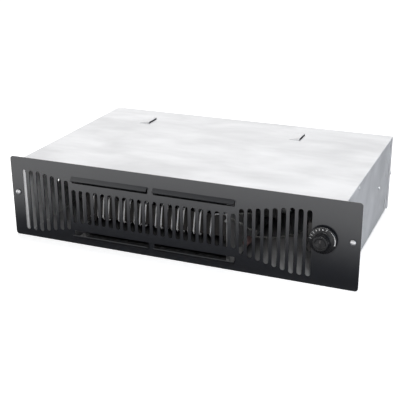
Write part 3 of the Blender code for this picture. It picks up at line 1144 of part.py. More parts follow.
# ---- wiring -----------------------------------------------------------------
def make_compartment():
    """The folded wall of the wiring compartment, riveted to the casing's right side."""
    side = SIDE_IN - GAP - SHEET / 2
    left = SIDE_IN - COMPARTMENT_WIDTH
    base = DUCT_BASE
    profile = [(side, COMPARTMENT_RIVET_Y - COMPARTMENT_FLANGE, base), (side, COMPARTMENT_FRONT, base),
               (left, COMPARTMENT_FRONT, base), (left, REAR_INNER - GAP, base)]
    wall = folded("wiring_compartment", profile, (0, 0, COMPARTMENT_TOP - base), GALVANISED)
    cut(wall, rod("compartment_wall_hole", (side - SHEET, COMPARTMENT_RIVET_Y, COMPARTMENT_RIVET_Z),
                  2 * SHEET, RIVET_SHANK_RADIUS + HOLE_GAP, "X", sides=SMALL_SIDES))
    cut(wall, rod("lead_port", (LEAD_GATE_X, COMPARTMENT_FRONT - SHEET, LEAD_GATE_Z), 2 * SHEET,
                  LEAD_GATE_RADIUS, "Y"))


def make_terminal_block():
    low = (BLOCK_X - BLOCK_PITCH * 1.5, BLOCK_Y - BLOCK_DEPTH / 2, DUCT_BASE)
    high = (BLOCK_X + BLOCK_PITCH * 1.5, BLOCK_Y + BLOCK_DEPTH / 2, DUCT_BASE + BLOCK_HEIGHT)
    block = box("terminal_block", low, high, CREAM_PLASTIC)
    for index in range(3):
        centre = BLOCK_X + (index - 1) * BLOCK_PITCH
        cut(block, rod(f"block_screw_well_{index}", (centre, BLOCK_Y, high[2] - BLOCK_WELL_DEPTH),
                       BLOCK_HEIGHT, BLOCK_PITCH / 4, "Z", sides=SMALL_SIDES))
        cut(block, rod(f"block_wire_well_{index}", (centre, low[1] - SHEET, BLOCK_WELL_Z),
                       BLOCK_WELL_DEPTH + SHEET, LEAD_RADIUS + 2 * HOLE_GAP, "Y", sides=SMALL_SIDES))


def make_earth_screw():
    piece = screw("earth_screw", (EARTH_X, EARTH_Y, FLOOR_TOP + GAP), "Z", EARTH_HEAD, EARTH_HEAD_HEIGHT,
                  EARTH_RADIUS, SHEET + 2 * GAP, BRASS, arms=1)
    piece.rotation_euler = (math.pi, 0, 0)


def make_cable_bush():
    """The bush in the rear panel for the supply cable."""
    groove = CABLE_HOLE_RADIUS - GAP
    flange = CABLE_HOLE_RADIUS + BUSH_LIP
    waist = SHEET + 2 * GAP
    tail = BUSH_TAIL
    outer = tail + waist + BUSH_FLANGE
    taper = 0.0008
    turned("cable_bush", [(CABLE_BORE_RADIUS, 0), (groove - taper, 0), (flange - taper, tail), (groove, tail),
                          (groove, tail + waist), (flange, tail + waist), (flange, outer),
                          (CABLE_BORE_RADIUS, outer)],
           (CABLE_X, REAR_INNER - GAP - tail, CABLE_Z), "Y", BLACK_PLASTIC)


def make_wire_connector():
    """The closed-end wire connector that joins the motor and supply leads."""
    wide, length = CONNECTOR_RADIUS, CONNECTOR_LENGTH
    floor = length - CONNECTOR_CUP
    turned("wire_connector", [(0, 0), (wide * 0.64, 0), (wide * 0.8, 0.001), (wide, length - 0.004),
                              (wide, length),
                              (wide * 0.68, length), (wide * 0.6, floor), (0, floor)],
           (CONNECTOR_X, CONNECTOR_Y, CONNECTOR_Z), "Y", RED_PLASTIC)


def squarely(point, axis, length=LEAD_SQUARE):
    """A lead's first points: from its end straight on along the direction axis."""
    point, axis = Vector(point), Vector(axis)
    return [point + axis * length * share for share in (0, 0.5, 1)]


def into_block(pole):
    """The first points of a lead that leaves one of the terminal block's wells."""
    bottom = BLOCK_Y - BLOCK_DEPTH / 2 + BLOCK_WELL_DEPTH - GAP
    return squarely((BLOCK_X + pole * BLOCK_PITCH, bottom, BLOCK_WELL_Z), (0, -1, 0),
                    BLOCK_WELL_DEPTH + 2 * LEAD_SQUARE)


def through_gate(offset_x, offset_z):
    """Two points of a lead in the hole of the compartment's front wall, from its inside outwards."""
    return [(LEAD_GATE_X + offset_x, COMPARTMENT_FRONT + side * LEAD_SQUARE * 1.5, LEAD_GATE_Z + offset_z)
            for side in (1, -1)]


def route(first, last, *rows):
    """A lead's knots: its first points, those between, and its last ones, which are given from its end on.

    Each row is a share of the straight way between, and the steps aside along X, Y and Z.
    """
    start, end = Vector(first[-1]), Vector(last[-1])
    return first + [start.lerp(end, row[0]) + Vector(row[1:]) * LEAD_STEP for row in rows] + last[::-1]


def make_leads():
    """The internal leads, each whole from one terminal to the next; each leaves its terminal squarely."""
    half = PAIR_OFFSET
    tag_y = CASING_FRONT + BODY_SIZE[1] + THERMOSTAT_TAG + GAP
    tag_high = KNOB_Z + THERMOSTAT_TAG_OFFSET
    limiter_x = DUCT_RIGHT_OUT + GAP + LIMITER_REACH + GAP
    port_length = DUCT_RIGHT_OUT - TERMINAL_X + LEAD_SQUARE * 1.5
    motor_y = BLOWER_Y + STACK_LEG + WINDING_WALL + GAP
    cup_y = CONNECTOR_Y + CONNECTOR_LENGTH - CONNECTOR_CUP + GAP
    cup_length = CONNECTOR_CUP + LEAD_SQUARE
    tags = {
        "supply": squarely((KNOB_X, tag_y, KNOB_Z - THERMOSTAT_TAG_OFFSET), (0, 1, 0)),
        "limiter": squarely((KNOB_X - half, tag_y, tag_high), (0, 1, 0)),
        "motor": squarely((KNOB_X + half, tag_y, tag_high), (0, 1, 0)),
        "can_high": squarely((limiter_x, LIMITER_Y, LIMITER_Z + LIMITER_TAG_OFFSET), (1, 0, 0)),
        "can_low": squarely((limiter_x, LIMITER_Y, LIMITER_Z - LIMITER_TAG_OFFSET), (1, 0, 0)),
        "stud_high": squarely((TERMINAL_X, LEAD_PORT_Y, TERMINAL_HIGH_Z), (1, 0, 0), port_length),
        "stud_low": squarely((TERMINAL_X, LEAD_PORT_Y, TERMINAL_LOW_Z), (1, 0, 0), port_length),
        "cup_element": squarely((CONNECTOR_X + half, cup_y, CONNECTOR_Z), (0, 1, 0), cup_length),
        "cup_supply": squarely((CONNECTOR_X - half, cup_y, CONNECTOR_Z), (0, 1, 0), cup_length),
        "winding_line": squarely((STACK_X + STACK_LENGTH * 0.75, motor_y, BLOWER_Z + MOTOR_LEAD_OFFSET),
                                 (0, 1, 0)),
        "winding_neutral": squarely((STACK_X + STACK_LENGTH / 2, motor_y, BLOWER_Z - MOTOR_LEAD_OFFSET),
                                    (0, 1, 0)),
        "block_line": into_block(1) + through_gate(LEAD_SQUARE, -LEAD_SQUARE),
        "block_neutral": into_block(-1) + through_gate(-LEAD_SQUARE, -LEAD_SQUARE),
        "block_motor": into_block(0) + through_gate(0, LEAD_SQUARE),
    }
    leads = (
        ("lead_supply_line", LEAD_BLACK, "block_line", "supply",
         ((0.3, -0.2, -0.2, -1.25), (0.7, -0.05, 0.05, -1.9), (0.9, 0.25, -0.3, -0.65))),
        ("lead_thermostat_limiter", LEAD_RED, "limiter", "can_high",
         ((0.05, 0.05, 0.95, 0.25), (0.3, 0.05, 1.65, 0.75), (0.65, 0.1, 0.95, 0.85),
          (0.9, 0.0, 0.3, 0.35))),
        ("lead_limiter_element", LEAD_RED, "can_low", "stud_high",
         ((0.15, 0.8, -0.35, 0.25), (0.5, 1.05, -0.5, 0.4), (0.8, 0.65, -0.4, 0.2))),
        ("lead_element_neutral", LEAD_WHITE, "stud_low", "cup_element",
         ((0.25, 0.8, -0.3, 0.15), (0.65, 0.8, 0.15, 0.35), (1.0, 0.6, 0.75, 0.85))),
        ("lead_supply_neutral", LEAD_WHITE, "cup_supply", "block_neutral",
         ((0.1, -0.4, 0.45, -0.85), (0.25, 0.95, 0.3, -1.8), (0.55, 1.2, -0.3, -2.4),
          (0.8, 0.55, 0.35, -0.8))),
        ("lead_motor_line", LEAD_BLACK, "winding_line", "motor",
         ((0.0, 0.8, 0.45, 0.1), (0.05, 2.05, 0.8, 0.3), (0.35, 1.75, 1.5, 0.3), (0.6, 0.65, -0.1, 0.55),
          (0.9, 0.9, 0.5, 0.75))),
        ("lead_motor_neutral", LEAD_WHITE, "winding_neutral", "block_motor",
         ((0.1, 0.1, 0.3, -0.05), (0.35, -0.15, 0.0, 0.0), (0.65, 0.05, -0.8, -0.1))),
    )
    for name, finish, first, last, rows in leads:
        tube(name, smooth_route(route(tags[first], tags[last], *rows), LEAD_STEP), LEAD_RADIUS, finish,
             resolution=1)


def main():
    make_grille()
    make_grille_screws()
    make_chassis()
    make_cover()
    make_rear_panel()
    make_rivets()
    make_duct_plates()
    make_scroll()
    make_roof()
    make_wheel()
    make_rotor()
    make_left_bearing()
    make_stator()
    make_brackets()
    make_motor_mount()
    make_coil()
    make_mica()
    make_studs()
    make_return_wire()
    make_limiter()
    make_thermostat()
    make_knob()
    make_compartment()
    make_terminal_block()
    make_earth_screw()
    make_cable_bush()
    make_wire_connector()
    make_leads()


main()
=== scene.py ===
"""Plinth fan heater: the fine surfaces, finishes, floor and lights round its frame.

Metres, in the frame's own axes: +X along the grille, +Y from the grille to the rear panel, +Z up.
"""

import math

import bmesh
import bpy
from bpy.props import FloatProperty, FloatVectorProperty, IntProperty, PointerProperty
from mathutils import Matrix, Vector


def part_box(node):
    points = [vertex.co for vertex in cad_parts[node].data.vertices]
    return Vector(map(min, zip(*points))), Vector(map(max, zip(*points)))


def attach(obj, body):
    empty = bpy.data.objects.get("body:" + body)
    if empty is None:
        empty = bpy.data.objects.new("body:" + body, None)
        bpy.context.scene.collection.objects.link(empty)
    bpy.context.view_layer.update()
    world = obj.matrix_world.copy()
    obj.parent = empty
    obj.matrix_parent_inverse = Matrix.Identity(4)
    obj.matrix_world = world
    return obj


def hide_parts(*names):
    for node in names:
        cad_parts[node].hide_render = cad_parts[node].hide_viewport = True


bl_info = {
    "name": "Plinth fan heater",
    "version": (1, 0, 0),
    "blender": (4, 5, 0),
    "location": "3D View > Sidebar > Heater",
    "description": "Builds the surfaces, finishes and studio of a plinth fan heater",
    "category": "Object",
}

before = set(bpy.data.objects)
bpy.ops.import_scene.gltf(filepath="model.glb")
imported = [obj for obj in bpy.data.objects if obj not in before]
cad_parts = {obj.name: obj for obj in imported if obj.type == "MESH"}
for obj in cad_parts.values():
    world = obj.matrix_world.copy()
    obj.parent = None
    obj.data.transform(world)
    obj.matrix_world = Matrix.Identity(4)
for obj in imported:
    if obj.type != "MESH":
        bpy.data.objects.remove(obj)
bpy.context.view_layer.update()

# ---- the grille's layout, from its left end and lower edge ---------------------
GRILLE_LOW, GRILLE_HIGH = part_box("front_grille")
GRILLE_LEFT = GRILLE_LOW.x
GRILLE_BACK = GRILLE_HIGH.y
GRILLE_TOP = GRILLE_HIGH.z
SHEET_GAUGE = 0.0012
GRILLE_FRONT = GRILLE_BACK - SHEET_GAUGE
GRILLE_CORNER = 0.004
SLOT_FIRST = 0.020            # the grille's left end to the first slot
SLOT_LAST = 0.06124           # the last slot to the grille's right end
SLOT_GROUPS = (7, 22, 9)      # tall slots, short ones before the coil, tall slots
SLOT_PITCH = (GRILLE_HIGH.x - GRILLE_LEFT - SLOT_FIRST - SLOT_LAST) / (sum(SLOT_GROUPS) - 1)
SLOT_WIDTH = SLOT_PITCH * 0.6
SHORT_SLOT = (0.0295, 0.0755)
FULL_SLOT = (0.009, 0.094)
FULL_SLOTS = 3                # at each end; the tall slots further in get shorter by the taper
SLOT_TAPER = (0.0023, -0.0018)
FLAP_OVERHANG = 0.0022        # a flap's opening past the centre of its last slot
FLAP_BAR = 0.0075             # plate left between two flaps
FLAP_HINGES = ((0.094, 1), (0.009, -1))      # height of the hinge, +1 where the flap hangs from it
FLAP_OPENING = 0.0095
FLAP_CORNER = 0.0012
FLAP_END_GAP = 0.0004
FLAP_LENGTH = 0.0076
FLAP_ANGLE = 53
FLAP_BEND = 0.0011
FLAP_HALF_GAUGE = 0.0005
OVERCUT = 0.002               # a cutter's reach past the sheet
SCREW_INSET = 0.009
SCREW_HEIGHT = 0.0615
SCREW_HOLE = 0.0022           # radius
KNOB_X = 0.191
KNOB_Z = 0.060
KNOB_HOLE = 0.0055


# ---- what a user may change ----------------------------------------------------
def length(name, description, default):
    return FloatProperty(name=name, description=description, default=default, min=0.0,
                         soft_max=1.0, subtype="DISTANCE", unit="LENGTH", precision=5)


def colour(name, description, default):
    return FloatVectorProperty(name=name, description=description, default=default, min=0.0,
                               max=1.0, size=3, subtype="COLOR")


class HeaterSizes(bpy.types.PropertyGroup):
    edge: length("Sheet edge", "Rounding of the cut edges of the sheet", 0.00022)
    fold: length("Fold", "Inner radius of the casing's folds", 0.0005)
    paint_edge: length("Painted edge", "Rounding of the painted edges of the grille", 0.00025)
    moulding_edge: length("Moulding edge", "Rounding of moulded and cast edges", 0.0004)
    wire: length("Wire radius", "Radius of the heating wire", 0.0009)
    numeral: length("Numeral height", "Height of the numbers on the dial", 0.0031)
    flutes: IntProperty(name="Grip flutes", description="Grooves round the knob's cap",
                        default=30, min=8, max=60)


class HeaterColours(bpy.types.PropertyGroup):
    galvanised: colour("Galvanised sheet", "Zinc-coated steel of the casing", (0.85, 0.85, 0.86))
    paint: colour("Grille paint", "Satin black powder coat", (0.0115, 0.0130, 0.0170))
    moulding: colour("Black moulding", "Knob, fan and bush", (0.0100, 0.0100, 0.0115))
    print: colour("Dial print", "Numbers and marks of the dial", (0.84, 0.84, 0.84))
    plating: colour("Bright plating", "Screws, rivets and shafts", (0.94, 0.94, 0.95))
    wire: colour("Heating wire", "Drawn nickel-chromium wire", (0.92, 0.92, 0.93))
    floor: colour("Floor", "Studio floor", (0.86, 0.86, 0.86))


def sizes():
    return bpy.context.scene.heater_sizes


def colours():
    return bpy.context.scene.heater_colours


# ---- materials -----------------------------------------------------------------
class Graph:
    """Short calls that add nodes to a material or a world."""

    def __init__(self, owner):
        owner.use_nodes = True
        self.nodes, self.links = owner.node_tree.nodes, owner.node_tree.links

    def add(self, kind, inputs, output=0, **settings):
        """A node of a kind, its inputs fed by sockets or values; returns one of its outputs."""
        node = self.nodes.new(f"ShaderNode{kind}")
        for key, value in settings.items():
            setattr(node, key, value)
        for key, value in inputs.items():
            if isinstance(value, bpy.types.NodeSocket):
                self.links.new(value, node.inputs[key])
            else:
                node.inputs[key].default_value = value
        return node.outputs[output]

    def span(self, source, low, high, start=0.0, end=1.0, curve="LINEAR"):
        """Maps a factor from start..end to low..high."""
        values = {"Value": source, "From Min": start, "From Max": end, "To Min": low,
                  "To Max": high}
        return self.add("MapRange", values, "Result", interpolation_type=curve)

    def blend(self, factor, low, high):
        """A colour between two colours or sockets."""
        low, high = (value if isinstance(value, bpy.types.NodeSocket) else (*value[:3], 1)
                     for value in (low, high))
        return self.add("Mix", {0: factor, 6: low, 7: high}, 2, data_type="RGBA")

    def along(self, axis, vector):
        return self.add("SeparateXYZ", {0: vector}, axis)

    def maths(self, operation, one, two):
        return self.add("Math", {0: one, 1: two}, operation=operation)

    def ray(self, kind):
        """1 for rays of a kind, such as Camera or Glossy, and 0 for others."""
        return self.add("LightPath", {}, f"Is {kind} Ray")

    def ends_in(self, kind, shader):
        self.links.new(shader, self.nodes.new(f"ShaderNode{kind}").inputs["Surface"])


class Finish(Graph):
    """A material with a Principled shader, with calls for the textures that feed it."""

    def __init__(self, name):
        self.material = bpy.data.materials.new(name)
        super().__init__(self.material)
        self.shader = self.nodes["Principled BSDF"]
        self.coordinates = self.add("TexCoord", {}, "Object")

    def set(self, **values):
        for key, value in values.items():
            self.shader.inputs[key.replace("_", " ")].default_value = value

    def to(self, socket, source):
        self.links.new(source, self.shader.inputs[socket])

    def stretched(self, scale):
        return self.add("Mapping", {"Vector": self.coordinates, "Scale": scale}, "Vector")

    def noise(self, scale, detail=2.0, roughness=0.5, vector=None, distortion=0.0):
        return self.add("TexNoise", {"Vector": vector or self.coordinates, "Scale": scale,
                                     "Detail": detail, "Roughness": roughness,
                                     "Distortion": distortion}, "Fac")

    def cells(self, scale, vector=None, output="Color"):
        values = {"Vector": vector or self.coordinates, "Scale": scale}
        return self.add("TexVoronoi", values, output)

    def bands(self, scale, direction, distortion):
        values = {"Vector": self.coordinates, "Scale": scale, "Distortion": distortion}
        return self.add("TexWave", values, "Fac", bands_direction=direction)

    def upward(self):
        """How far a face looks up, from -1 to 1."""
        return self.along("Z", self.add("NewGeometry", {}, "True Normal"))

    def bump(self, height, strength, distance):
        """Adds a relief to the ones before it, and returns the material."""
        values = {"Strength": strength, "Distance": distance, "Height": height}
        before = self.shader.inputs["Normal"].links
        if before:
            values["Normal"] = before[0].from_socket
        self.to("Normal", self.add("Bump", values, "Normal"))
        return self.material


def scaled(base, factor):
    return tuple(min(1.0, channel * factor) for channel in base[:3])


# painted shade inside the casing: the pan's upward faces are darkened towards this dark grey
PAINTED_SHADE_TONE = (0.085, 0.085, 0.092)
PAINTED_SHADE_IN_DUCT, PAINTED_SHADE_AT_RIGHT, PAINTED_SHADE_AT_LEFT = 0.94, 0.26, 0.60     # how far the painted shade darkens the zinc
DUCT_LEFT_END = (-0.160, -0.148)                                 # X over which that changes
DUCT_RIGHT_END = (0.078, 0.110)


def galvanised(name, shade=1.0, roughness=0.42, metallic=0.35, shade_painted=False):
    """Zinc-coated sheet: rolled clouds along X, faint crystals, a fine rolled grain.

    The pan's finish darkens what faces up as painted shade, heavy in the air's way and lighter
    beside the duct.
    """
    f = Finish(name)
    base = scaled(colours().galvanised, shade)
    clouds = f.noise(20.0, 4.0, 0.55, f.stretched((0.45, 1.0, 1.0)), 0.3)
    streaks = f.noise(60.0, 2.0, 0.5, f.stretched((0.10, 1.0, 1.0)))
    crystals = f.cells(95.0)
    tone = f.blend(f.span(clouds, 0.0, 1.0, 0.34, 0.66), scaled(base, 0.85), scaled(base, 1.07))
    tone = f.blend(f.span(streaks, 0.0, 0.30, 0.4, 0.8), tone, scaled(base, 0.88))
    tone = f.blend(f.span(crystals, 0.0, 0.10), tone, scaled(base, 1.10))
    # painted shade on the faces that look up, standing in for the shade inside the casing
    if shade_painted:
        across = f.along("X", f.coordinates)
        duct_shade = f.span(across, PAINTED_SHADE_IN_DUCT, PAINTED_SHADE_AT_RIGHT, *DUCT_RIGHT_END)
        left = f.span(across, 1.0, 0.0, *DUCT_LEFT_END)
        shaded_tone = f.blend(left, f.blend(duct_shade, tone, PAINTED_SHADE_TONE), f.blend(PAINTED_SHADE_AT_LEFT, tone, PAINTED_SHADE_TONE))
        tone = f.blend(f.span(f.upward(), 0.0, 1.0, 0.4, 0.9), tone, shaded_tone)
    f.to("Base Color", tone)
    f.set(Metallic=metallic)
    f.to("Roughness", f.span(crystals, roughness - 0.05, roughness + 0.06))
    f.bump(f.noise(900.0, 2.0, 0.5, f.stretched((0.15, 1.0, 1.0))), 0.05, 0.0002)
    return f.bump(crystals, 0.04, 0.0002)


def powder_coat(name):
    """Satin black powder coat: a fine orange peel."""
    f = Finish(name)
    base = colours().paint
    f.to("Base Color", f.blend(f.noise(260.0), scaled(base, 0.9), scaled(base, 1.15)))
    f.to("Roughness", f.span(f.noise(70.0, 3.0), 0.27, 0.33))
    f.set(Specular_IOR_Level=1.0, Coat_Weight=0.4, Coat_Roughness=0.28)
    return f.bump(f.noise(1500.0, 2.0, 0.55), 0.10, 0.00012)


def moulded(name, base, roughness=0.34, grain=0.06, spread=0.12):
    """Moulded plastic: a slight cloud in the colour and a fine satin grain."""
    f = Finish(name)
    clouds = f.noise(150.0, 3.0)
    f.to("Base Color", f.blend(clouds, scaled(base, 1 - spread), scaled(base, 1 + spread)))
    f.to("Roughness", f.span(f.noise(420.0), roughness - 0.04, roughness + 0.05))
    return f.bump(f.noise(2600.0), grain, 0.00008)


def metal(name, base, roughness=0.24, grain=(1.0, 1.0, 1.0), fine=1400.0, depth=0.05):
    """Plain metal with turned or drawn lines along the axis that grain stretches."""
    f = Finish(name)
    f.set(Metallic=1.0)
    lines = f.noise(fine, 2.0, 0.5, f.stretched(grain))
    f.to("Base Color", f.blend(f.noise(120.0), scaled(base, 0.93), scaled(base, 1.05)))
    f.to("Roughness", f.span(lines, roughness - 0.05, roughness + 0.10))
    return f.bump(lines, depth, 0.00005)


def heating_wire(name):
    """Drawn nickel-chromium wire with pale and blue-grey blooms of heat."""
    f = Finish(name)
    bloom = f.span(f.noise(28.0, 3.0, 0.6), 0.0, 1.0, 0.48, 0.70)
    tone = f.blend(bloom, colours().wire, (0.84, 0.83, 0.82))
    tone = f.blend(f.span(f.noise(60.0), 0.0, 1.0, 0.58, 0.75), tone, (0.62, 0.63, 0.67))
    f.to("Base Color", tone)
    f.set(Metallic=0.25)
    f.to("Roughness", f.span(f.noise(600.0), 0.26, 0.38))
    return f.bump(f.noise(2400.0), 0.05, 0.00004)


def mica(name):
    """Pressed mica board: dark flakes in layers."""
    f = Finish(name)
    flakes = f.cells(260.0, f.stretched((1.0, 1.0, 1.6)))
    tone = f.blend(flakes, (0.020, 0.0185, 0.018), (0.052, 0.047, 0.045))
    f.to("Base Color", f.blend(f.noise(45.0, 3.0), tone, (0.030, 0.0275, 0.0265)))
    f.to("Roughness", f.span(flakes, 0.42, 0.68))
    return f.bump(flakes, 0.12, 0.0002)


def laminations(name):
    """A stack of varnished steel stampings: fine lines across X."""
    f = Finish(name)
    sheets = f.bands(320.0, "X", 0.15)
    f.to("Base Color", f.blend(sheets, (0.050, 0.052, 0.058), (0.175, 0.172, 0.168)))
    f.set(Metallic=0.7)
    f.to("Roughness", f.span(f.noise(300.0), 0.38, 0.55))
    return f.bump(sheets, 0.25, 0.00015)


def winding_tape(name):
    """Dark amber varnished tape, wrapped with overlapping turns."""
    f = Finish(name)
    laps = f.bands(26.0, "Y", 0.8)
    f.to("Base Color", f.blend(laps, (0.13, 0.085, 0.035), (0.22, 0.15, 0.065)))
    f.to("Roughness", f.span(f.noise(200.0), 0.26, 0.42))
    f.set(Coat_Weight=0.4, Coat_Roughness=0.2)
    return f.bump(laps, 0.35, 0.0002)


def rubber(name):
    """Dull black rubber, slightly mottled."""
    f = Finish(name)
    base = (0.022, 0.022, 0.023)
    f.to("Base Color", f.blend(f.noise(240.0, 3.0), scaled(base, 0.8), scaled(base, 1.35)))
    f.to("Roughness", f.span(f.noise(500.0), 0.62, 0.80))
    return f.bump(f.noise(1800.0, 3.0), 0.12, 0.0001)


def insulation(name, base):
    """Sleeved lead: a fine braid under a dull varnish."""
    f = Finish(name)
    braid = f.cells(1900.0, output="Distance")
    threads = f.span(braid, 0.0, 1.0, 0.0, 0.6)
    f.to("Base Color", f.blend(threads, scaled(base, 0.82), scaled(base, 1.08)))
    f.to("Roughness", f.span(f.noise(400.0), 0.48, 0.64))
    return f.bump(braid, 0.20, 0.0001)


def print_ink(name, base):
    """Pad-printed ink, a little uneven."""
    f = Finish(name)
    f.to("Base Color", f.blend(f.noise(900.0, 3.0), scaled(base, 0.90), scaled(base, 1.04)))
    f.to("Roughness", f.span(f.noise(700.0), 0.48, 0.60))
    return f.bump(f.noise(2600.0), 0.05, 0.00004)


FINISHES = {
    "galvanised_steel": lambda: galvanised("galvanised_sheet"),
    # painted shade: the duct's sheet is a darker copy of the galvanised sheet, for the shade inside
    # the casing
    "duct_steel": lambda: galvanised("galvanised_duct_sheet", 0.70, 0.46, 0.55),
    # pan sheet with painted shade on its upward faces
    "pan_steel": lambda: galvanised("galvanised_pan_sheet", shade_painted=True),
    # painted shade: scroll wall and roof are a far darker copy of the sheet, standing in for the
    # shade in the duct
    "shade_darkened_steel": lambda: galvanised("shade_darkened_sheet", 0.12, 0.5, 0.55),
    "black_painted_steel": lambda: powder_coat("satin_black_powder_coat"),
    "black_plastic": lambda: moulded("satin_black_moulding", colours().moulding, 0.27, 0.05),
    "bright_steel": lambda: metal("bright_zinc_plating", colours().plating, 0.32),
    "resistance_wire": lambda: heating_wire("nickel_chromium_wire"),
    "mica_board": lambda: mica("pressed_mica"),
    "aluminium": lambda: metal("mill_aluminium", (0.56, 0.57, 0.58), 0.36, (0.1, 1.0, 1.0),
                               900.0, 0.08),
    "lamination_steel": lambda: laminations("varnished_laminations"),
    "winding_tape": lambda: winding_tape("amber_winding_tape"),
    "brass": lambda: metal("plain_brass", (0.70, 0.50, 0.20), 0.26),
    "sintered_bronze": lambda: metal("oiled_bronze", (0.40, 0.27, 0.14), 0.42, fine=700.0,
                                     depth=0.15),
    "black_rubber": lambda: rubber("dull_black_rubber"),
    "cream_plastic": lambda: moulded("cream_moulding", (0.72, 0.68, 0.57), 0.40, 0.05, 0.05),
    "dark_phenolic": lambda: moulded("brown_phenolic", (0.018, 0.0155, 0.0145), 0.40, 0.08, 0.20),
    "red_plastic": lambda: moulded("dull_red_moulding", (0.24, 0.15, 0.15), 0.38, 0.05, 0.08),
    "black_lead": lambda: insulation("black_sleeving", (0.022, 0.022, 0.024)),
    "white_lead": lambda: insulation("grey_glass_sleeving", (0.30, 0.30, 0.29)),
    "dial_print": lambda: print_ink("white_dial_print", colours().print),
    "pointer_print": lambda: print_ink("grey_pointer_print", (0.22, 0.20, 0.20)),
}
MADE = {}


def finish_of(kind):
    if kind not in MADE:
        MADE[kind] = FINISHES[kind]()
    return MADE[kind]


# ---- modelling -----------------------------------------------------------------
FLAT = math.radians(0.6)      # two faces that lie in one plane
FLAT_SHARE = 25               # a face so much larger than its neighbour keeps its flat shading
NEAR = 0.0001
FOLDED_SHEET = 0.001
LAP = 0.0013                  # cover's outer face to the pan's
LANCE_HEIGHT = 0.003
WIRE_SIDES = 12
FULL_TURN = 2 * math.pi


def piece_from(bm, name, body, kind, node=None, angle=32):
    """Links a bmesh as a piece that rides on a body, and stands for a node where one is named."""
    limit = math.radians(angle)
    for face in bm.faces:
        face.smooth = True
    for edge in bm.edges:
        if len(edge.link_faces) == 2:
            turn = edge.calc_face_angle(0)
            small, large = sorted(face.calc_area() for face in edge.link_faces)
            edge.smooth = turn < FLAT or (turn < limit and large < FLAT_SHARE * small)
    mesh = bpy.data.meshes.new(name)
    bm.to_mesh(mesh)
    bm.free()
    mesh.materials.append(finish_of(kind))
    piece = bpy.data.objects.new(name, mesh)
    bpy.context.scene.collection.objects.link(piece)
    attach(piece, body)
    if node:
        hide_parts(node)
    return piece


def arc(centre, radius, start, end, steps):
    points = []
    for step in range(steps + 1):
        angle = math.radians(start + (end - start) * step / steps)
        points.append((centre[0] + radius * math.cos(angle), centre[1] + radius * math.sin(angle)))
    return points


def rounded(low, high, radius, steps):
    (left, base), (right, top) = low, high
    return (arc((right - radius, base + radius), radius, -90, 0, steps)
            + arc((right - radius, top - radius), radius, 0, 90, steps)
            + arc((left + radius, top - radius), radius, 90, 180, steps)
            + arc((left + radius, base + radius), radius, 180, 270, steps))


def slot_outline(x, low, high):
    radius = SLOT_WIDTH / 2
    return (arc((x, high - radius), radius, 0, 180, 10)
            + arc((x, low + radius), radius, 180, 360, 10))


def prism(loops, low, high, axis="Y"):
    """A bmesh with a closed prism from each flat loop, between low and high along an axis."""
    order = {"X": (2, 0, 1), "Y": (0, 2, 1), "Z": (0, 1, 2)}[axis]
    bm = bmesh.new()
    for loop in loops:
        corners = [(u, v, low) for u, v in loop]
        face = bm.faces.new([bm.verts.new([corner[i] for i in order]) for corner in corners])
        made = bmesh.ops.extrude_face_region(bm, geom=[face], use_keep_orig=True)["geom"]
        step = [(0, 0, high - low)[i] for i in order]
        far_end = [item for item in made if isinstance(item, bmesh.types.BMVert)]
        bmesh.ops.translate(bm, vec=step, verts=far_end)
    bmesh.ops.recalc_face_normals(bm, faces=bm.faces)
    return bm


def block(low, high):
    bm = bmesh.new()
    low, high = Vector(low), Vector(high)
    bmesh.ops.create_cube(bm, size=1.0)
    bmesh.ops.scale(bm, vec=high - low, verts=bm.verts)
    bmesh.ops.translate(bm, vec=(low + high) / 2, verts=bm.verts)
    return bm


def shape(bm, others, operation="DIFFERENCE"):
    """Cuts or joins bmeshes with an exact boolean, and returns the result as a bmesh."""
    def holder(source, name):
        mesh = bpy.data.meshes.new(name)
        source.to_mesh(mesh)
        source.free()
        made = bpy.data.objects.new(name, mesh)
        bpy.context.scene.collection.objects.link(made)
        return made

    main_part = holder(bm, "blank")
    tools = [holder(other, "tool") for other in others]
    for tool in tools:
        modifier = main_part.modifiers.new("shape", "BOOLEAN")
        modifier.operation = operation
        modifier.solver = "EXACT"
        modifier.object = tool
    graph = bpy.context.evaluated_depsgraph_get()
    mesh = bpy.data.meshes.new_from_object(main_part.evaluated_get(graph))
    made = bmesh.new()
    made.from_mesh(mesh)
    for old in [main_part, *tools]:
        data = old.data
        bpy.data.objects.remove(old)
        bpy.data.meshes.remove(data)
    bpy.data.meshes.remove(mesh)
    return made


def tidy(bm, distance=0.00001):
    bmesh.ops.remove_doubles(bm, verts=bm.verts, dist=distance)
    bmesh.ops.dissolve_limit(bm, angle_limit=math.radians(1.0), verts=bm.verts, edges=bm.edges)


def round_edges(bm, width, segments=2, angle=50, chosen=None):
    """Rounds the edges that turn by more than an angle, or those of them that are chosen."""
    edges = [edge for edge in bm.edges if len(edge.link_faces) == 2
             and edge.calc_face_angle(0) > math.radians(angle) and (chosen is None or chosen(edge))]
    bmesh.ops.bevel(bm, geom=edges, offset=width, offset_type="OFFSET", segments=segments,
                    profile=0.5, affect="EDGES", clamp_overlap=True, material=-1)


def eased(node, kind, width, segments=2, angle=50, fold=None, body="casing"):
    """A node's solid with rounded edges; fold is the |X|, axis, level and inward side of a bend."""
    bm = bmesh.new()
    bm.from_mesh(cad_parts[node].data)
    tidy(bm)
    if fold:
        side, axis, level, inward = fold
        for radius, inset in ((sizes().fold + FOLDED_SHEET, 0), (sizes().fold, FOLDED_SHEET)):
            def at_bend(edge):
                one, two = (v.co for v in edge.verts)
                return abs(one.x - two.x) < NEAR and all(
                    abs(abs(spot.x) - side + inset) < NEAR
                    and abs(spot[axis] - level - inward * inset) < NEAR for spot in (one, two))

            round_edges(bm, radius, 6, angle, at_bend)
    round_edges(bm, width, segments, angle)
    piece_from(bm, f"{node}_surface", body, kind, node)


def facing(axis, place=(0, 0, 0)):
    """The matrix that turns +Z to an axis and moves the origin to a place."""
    turn = Vector((0, 0, 1)).rotation_difference(Vector(axis)).to_matrix().to_4x4()
    return Matrix.Translation(Vector(place)) @ turn


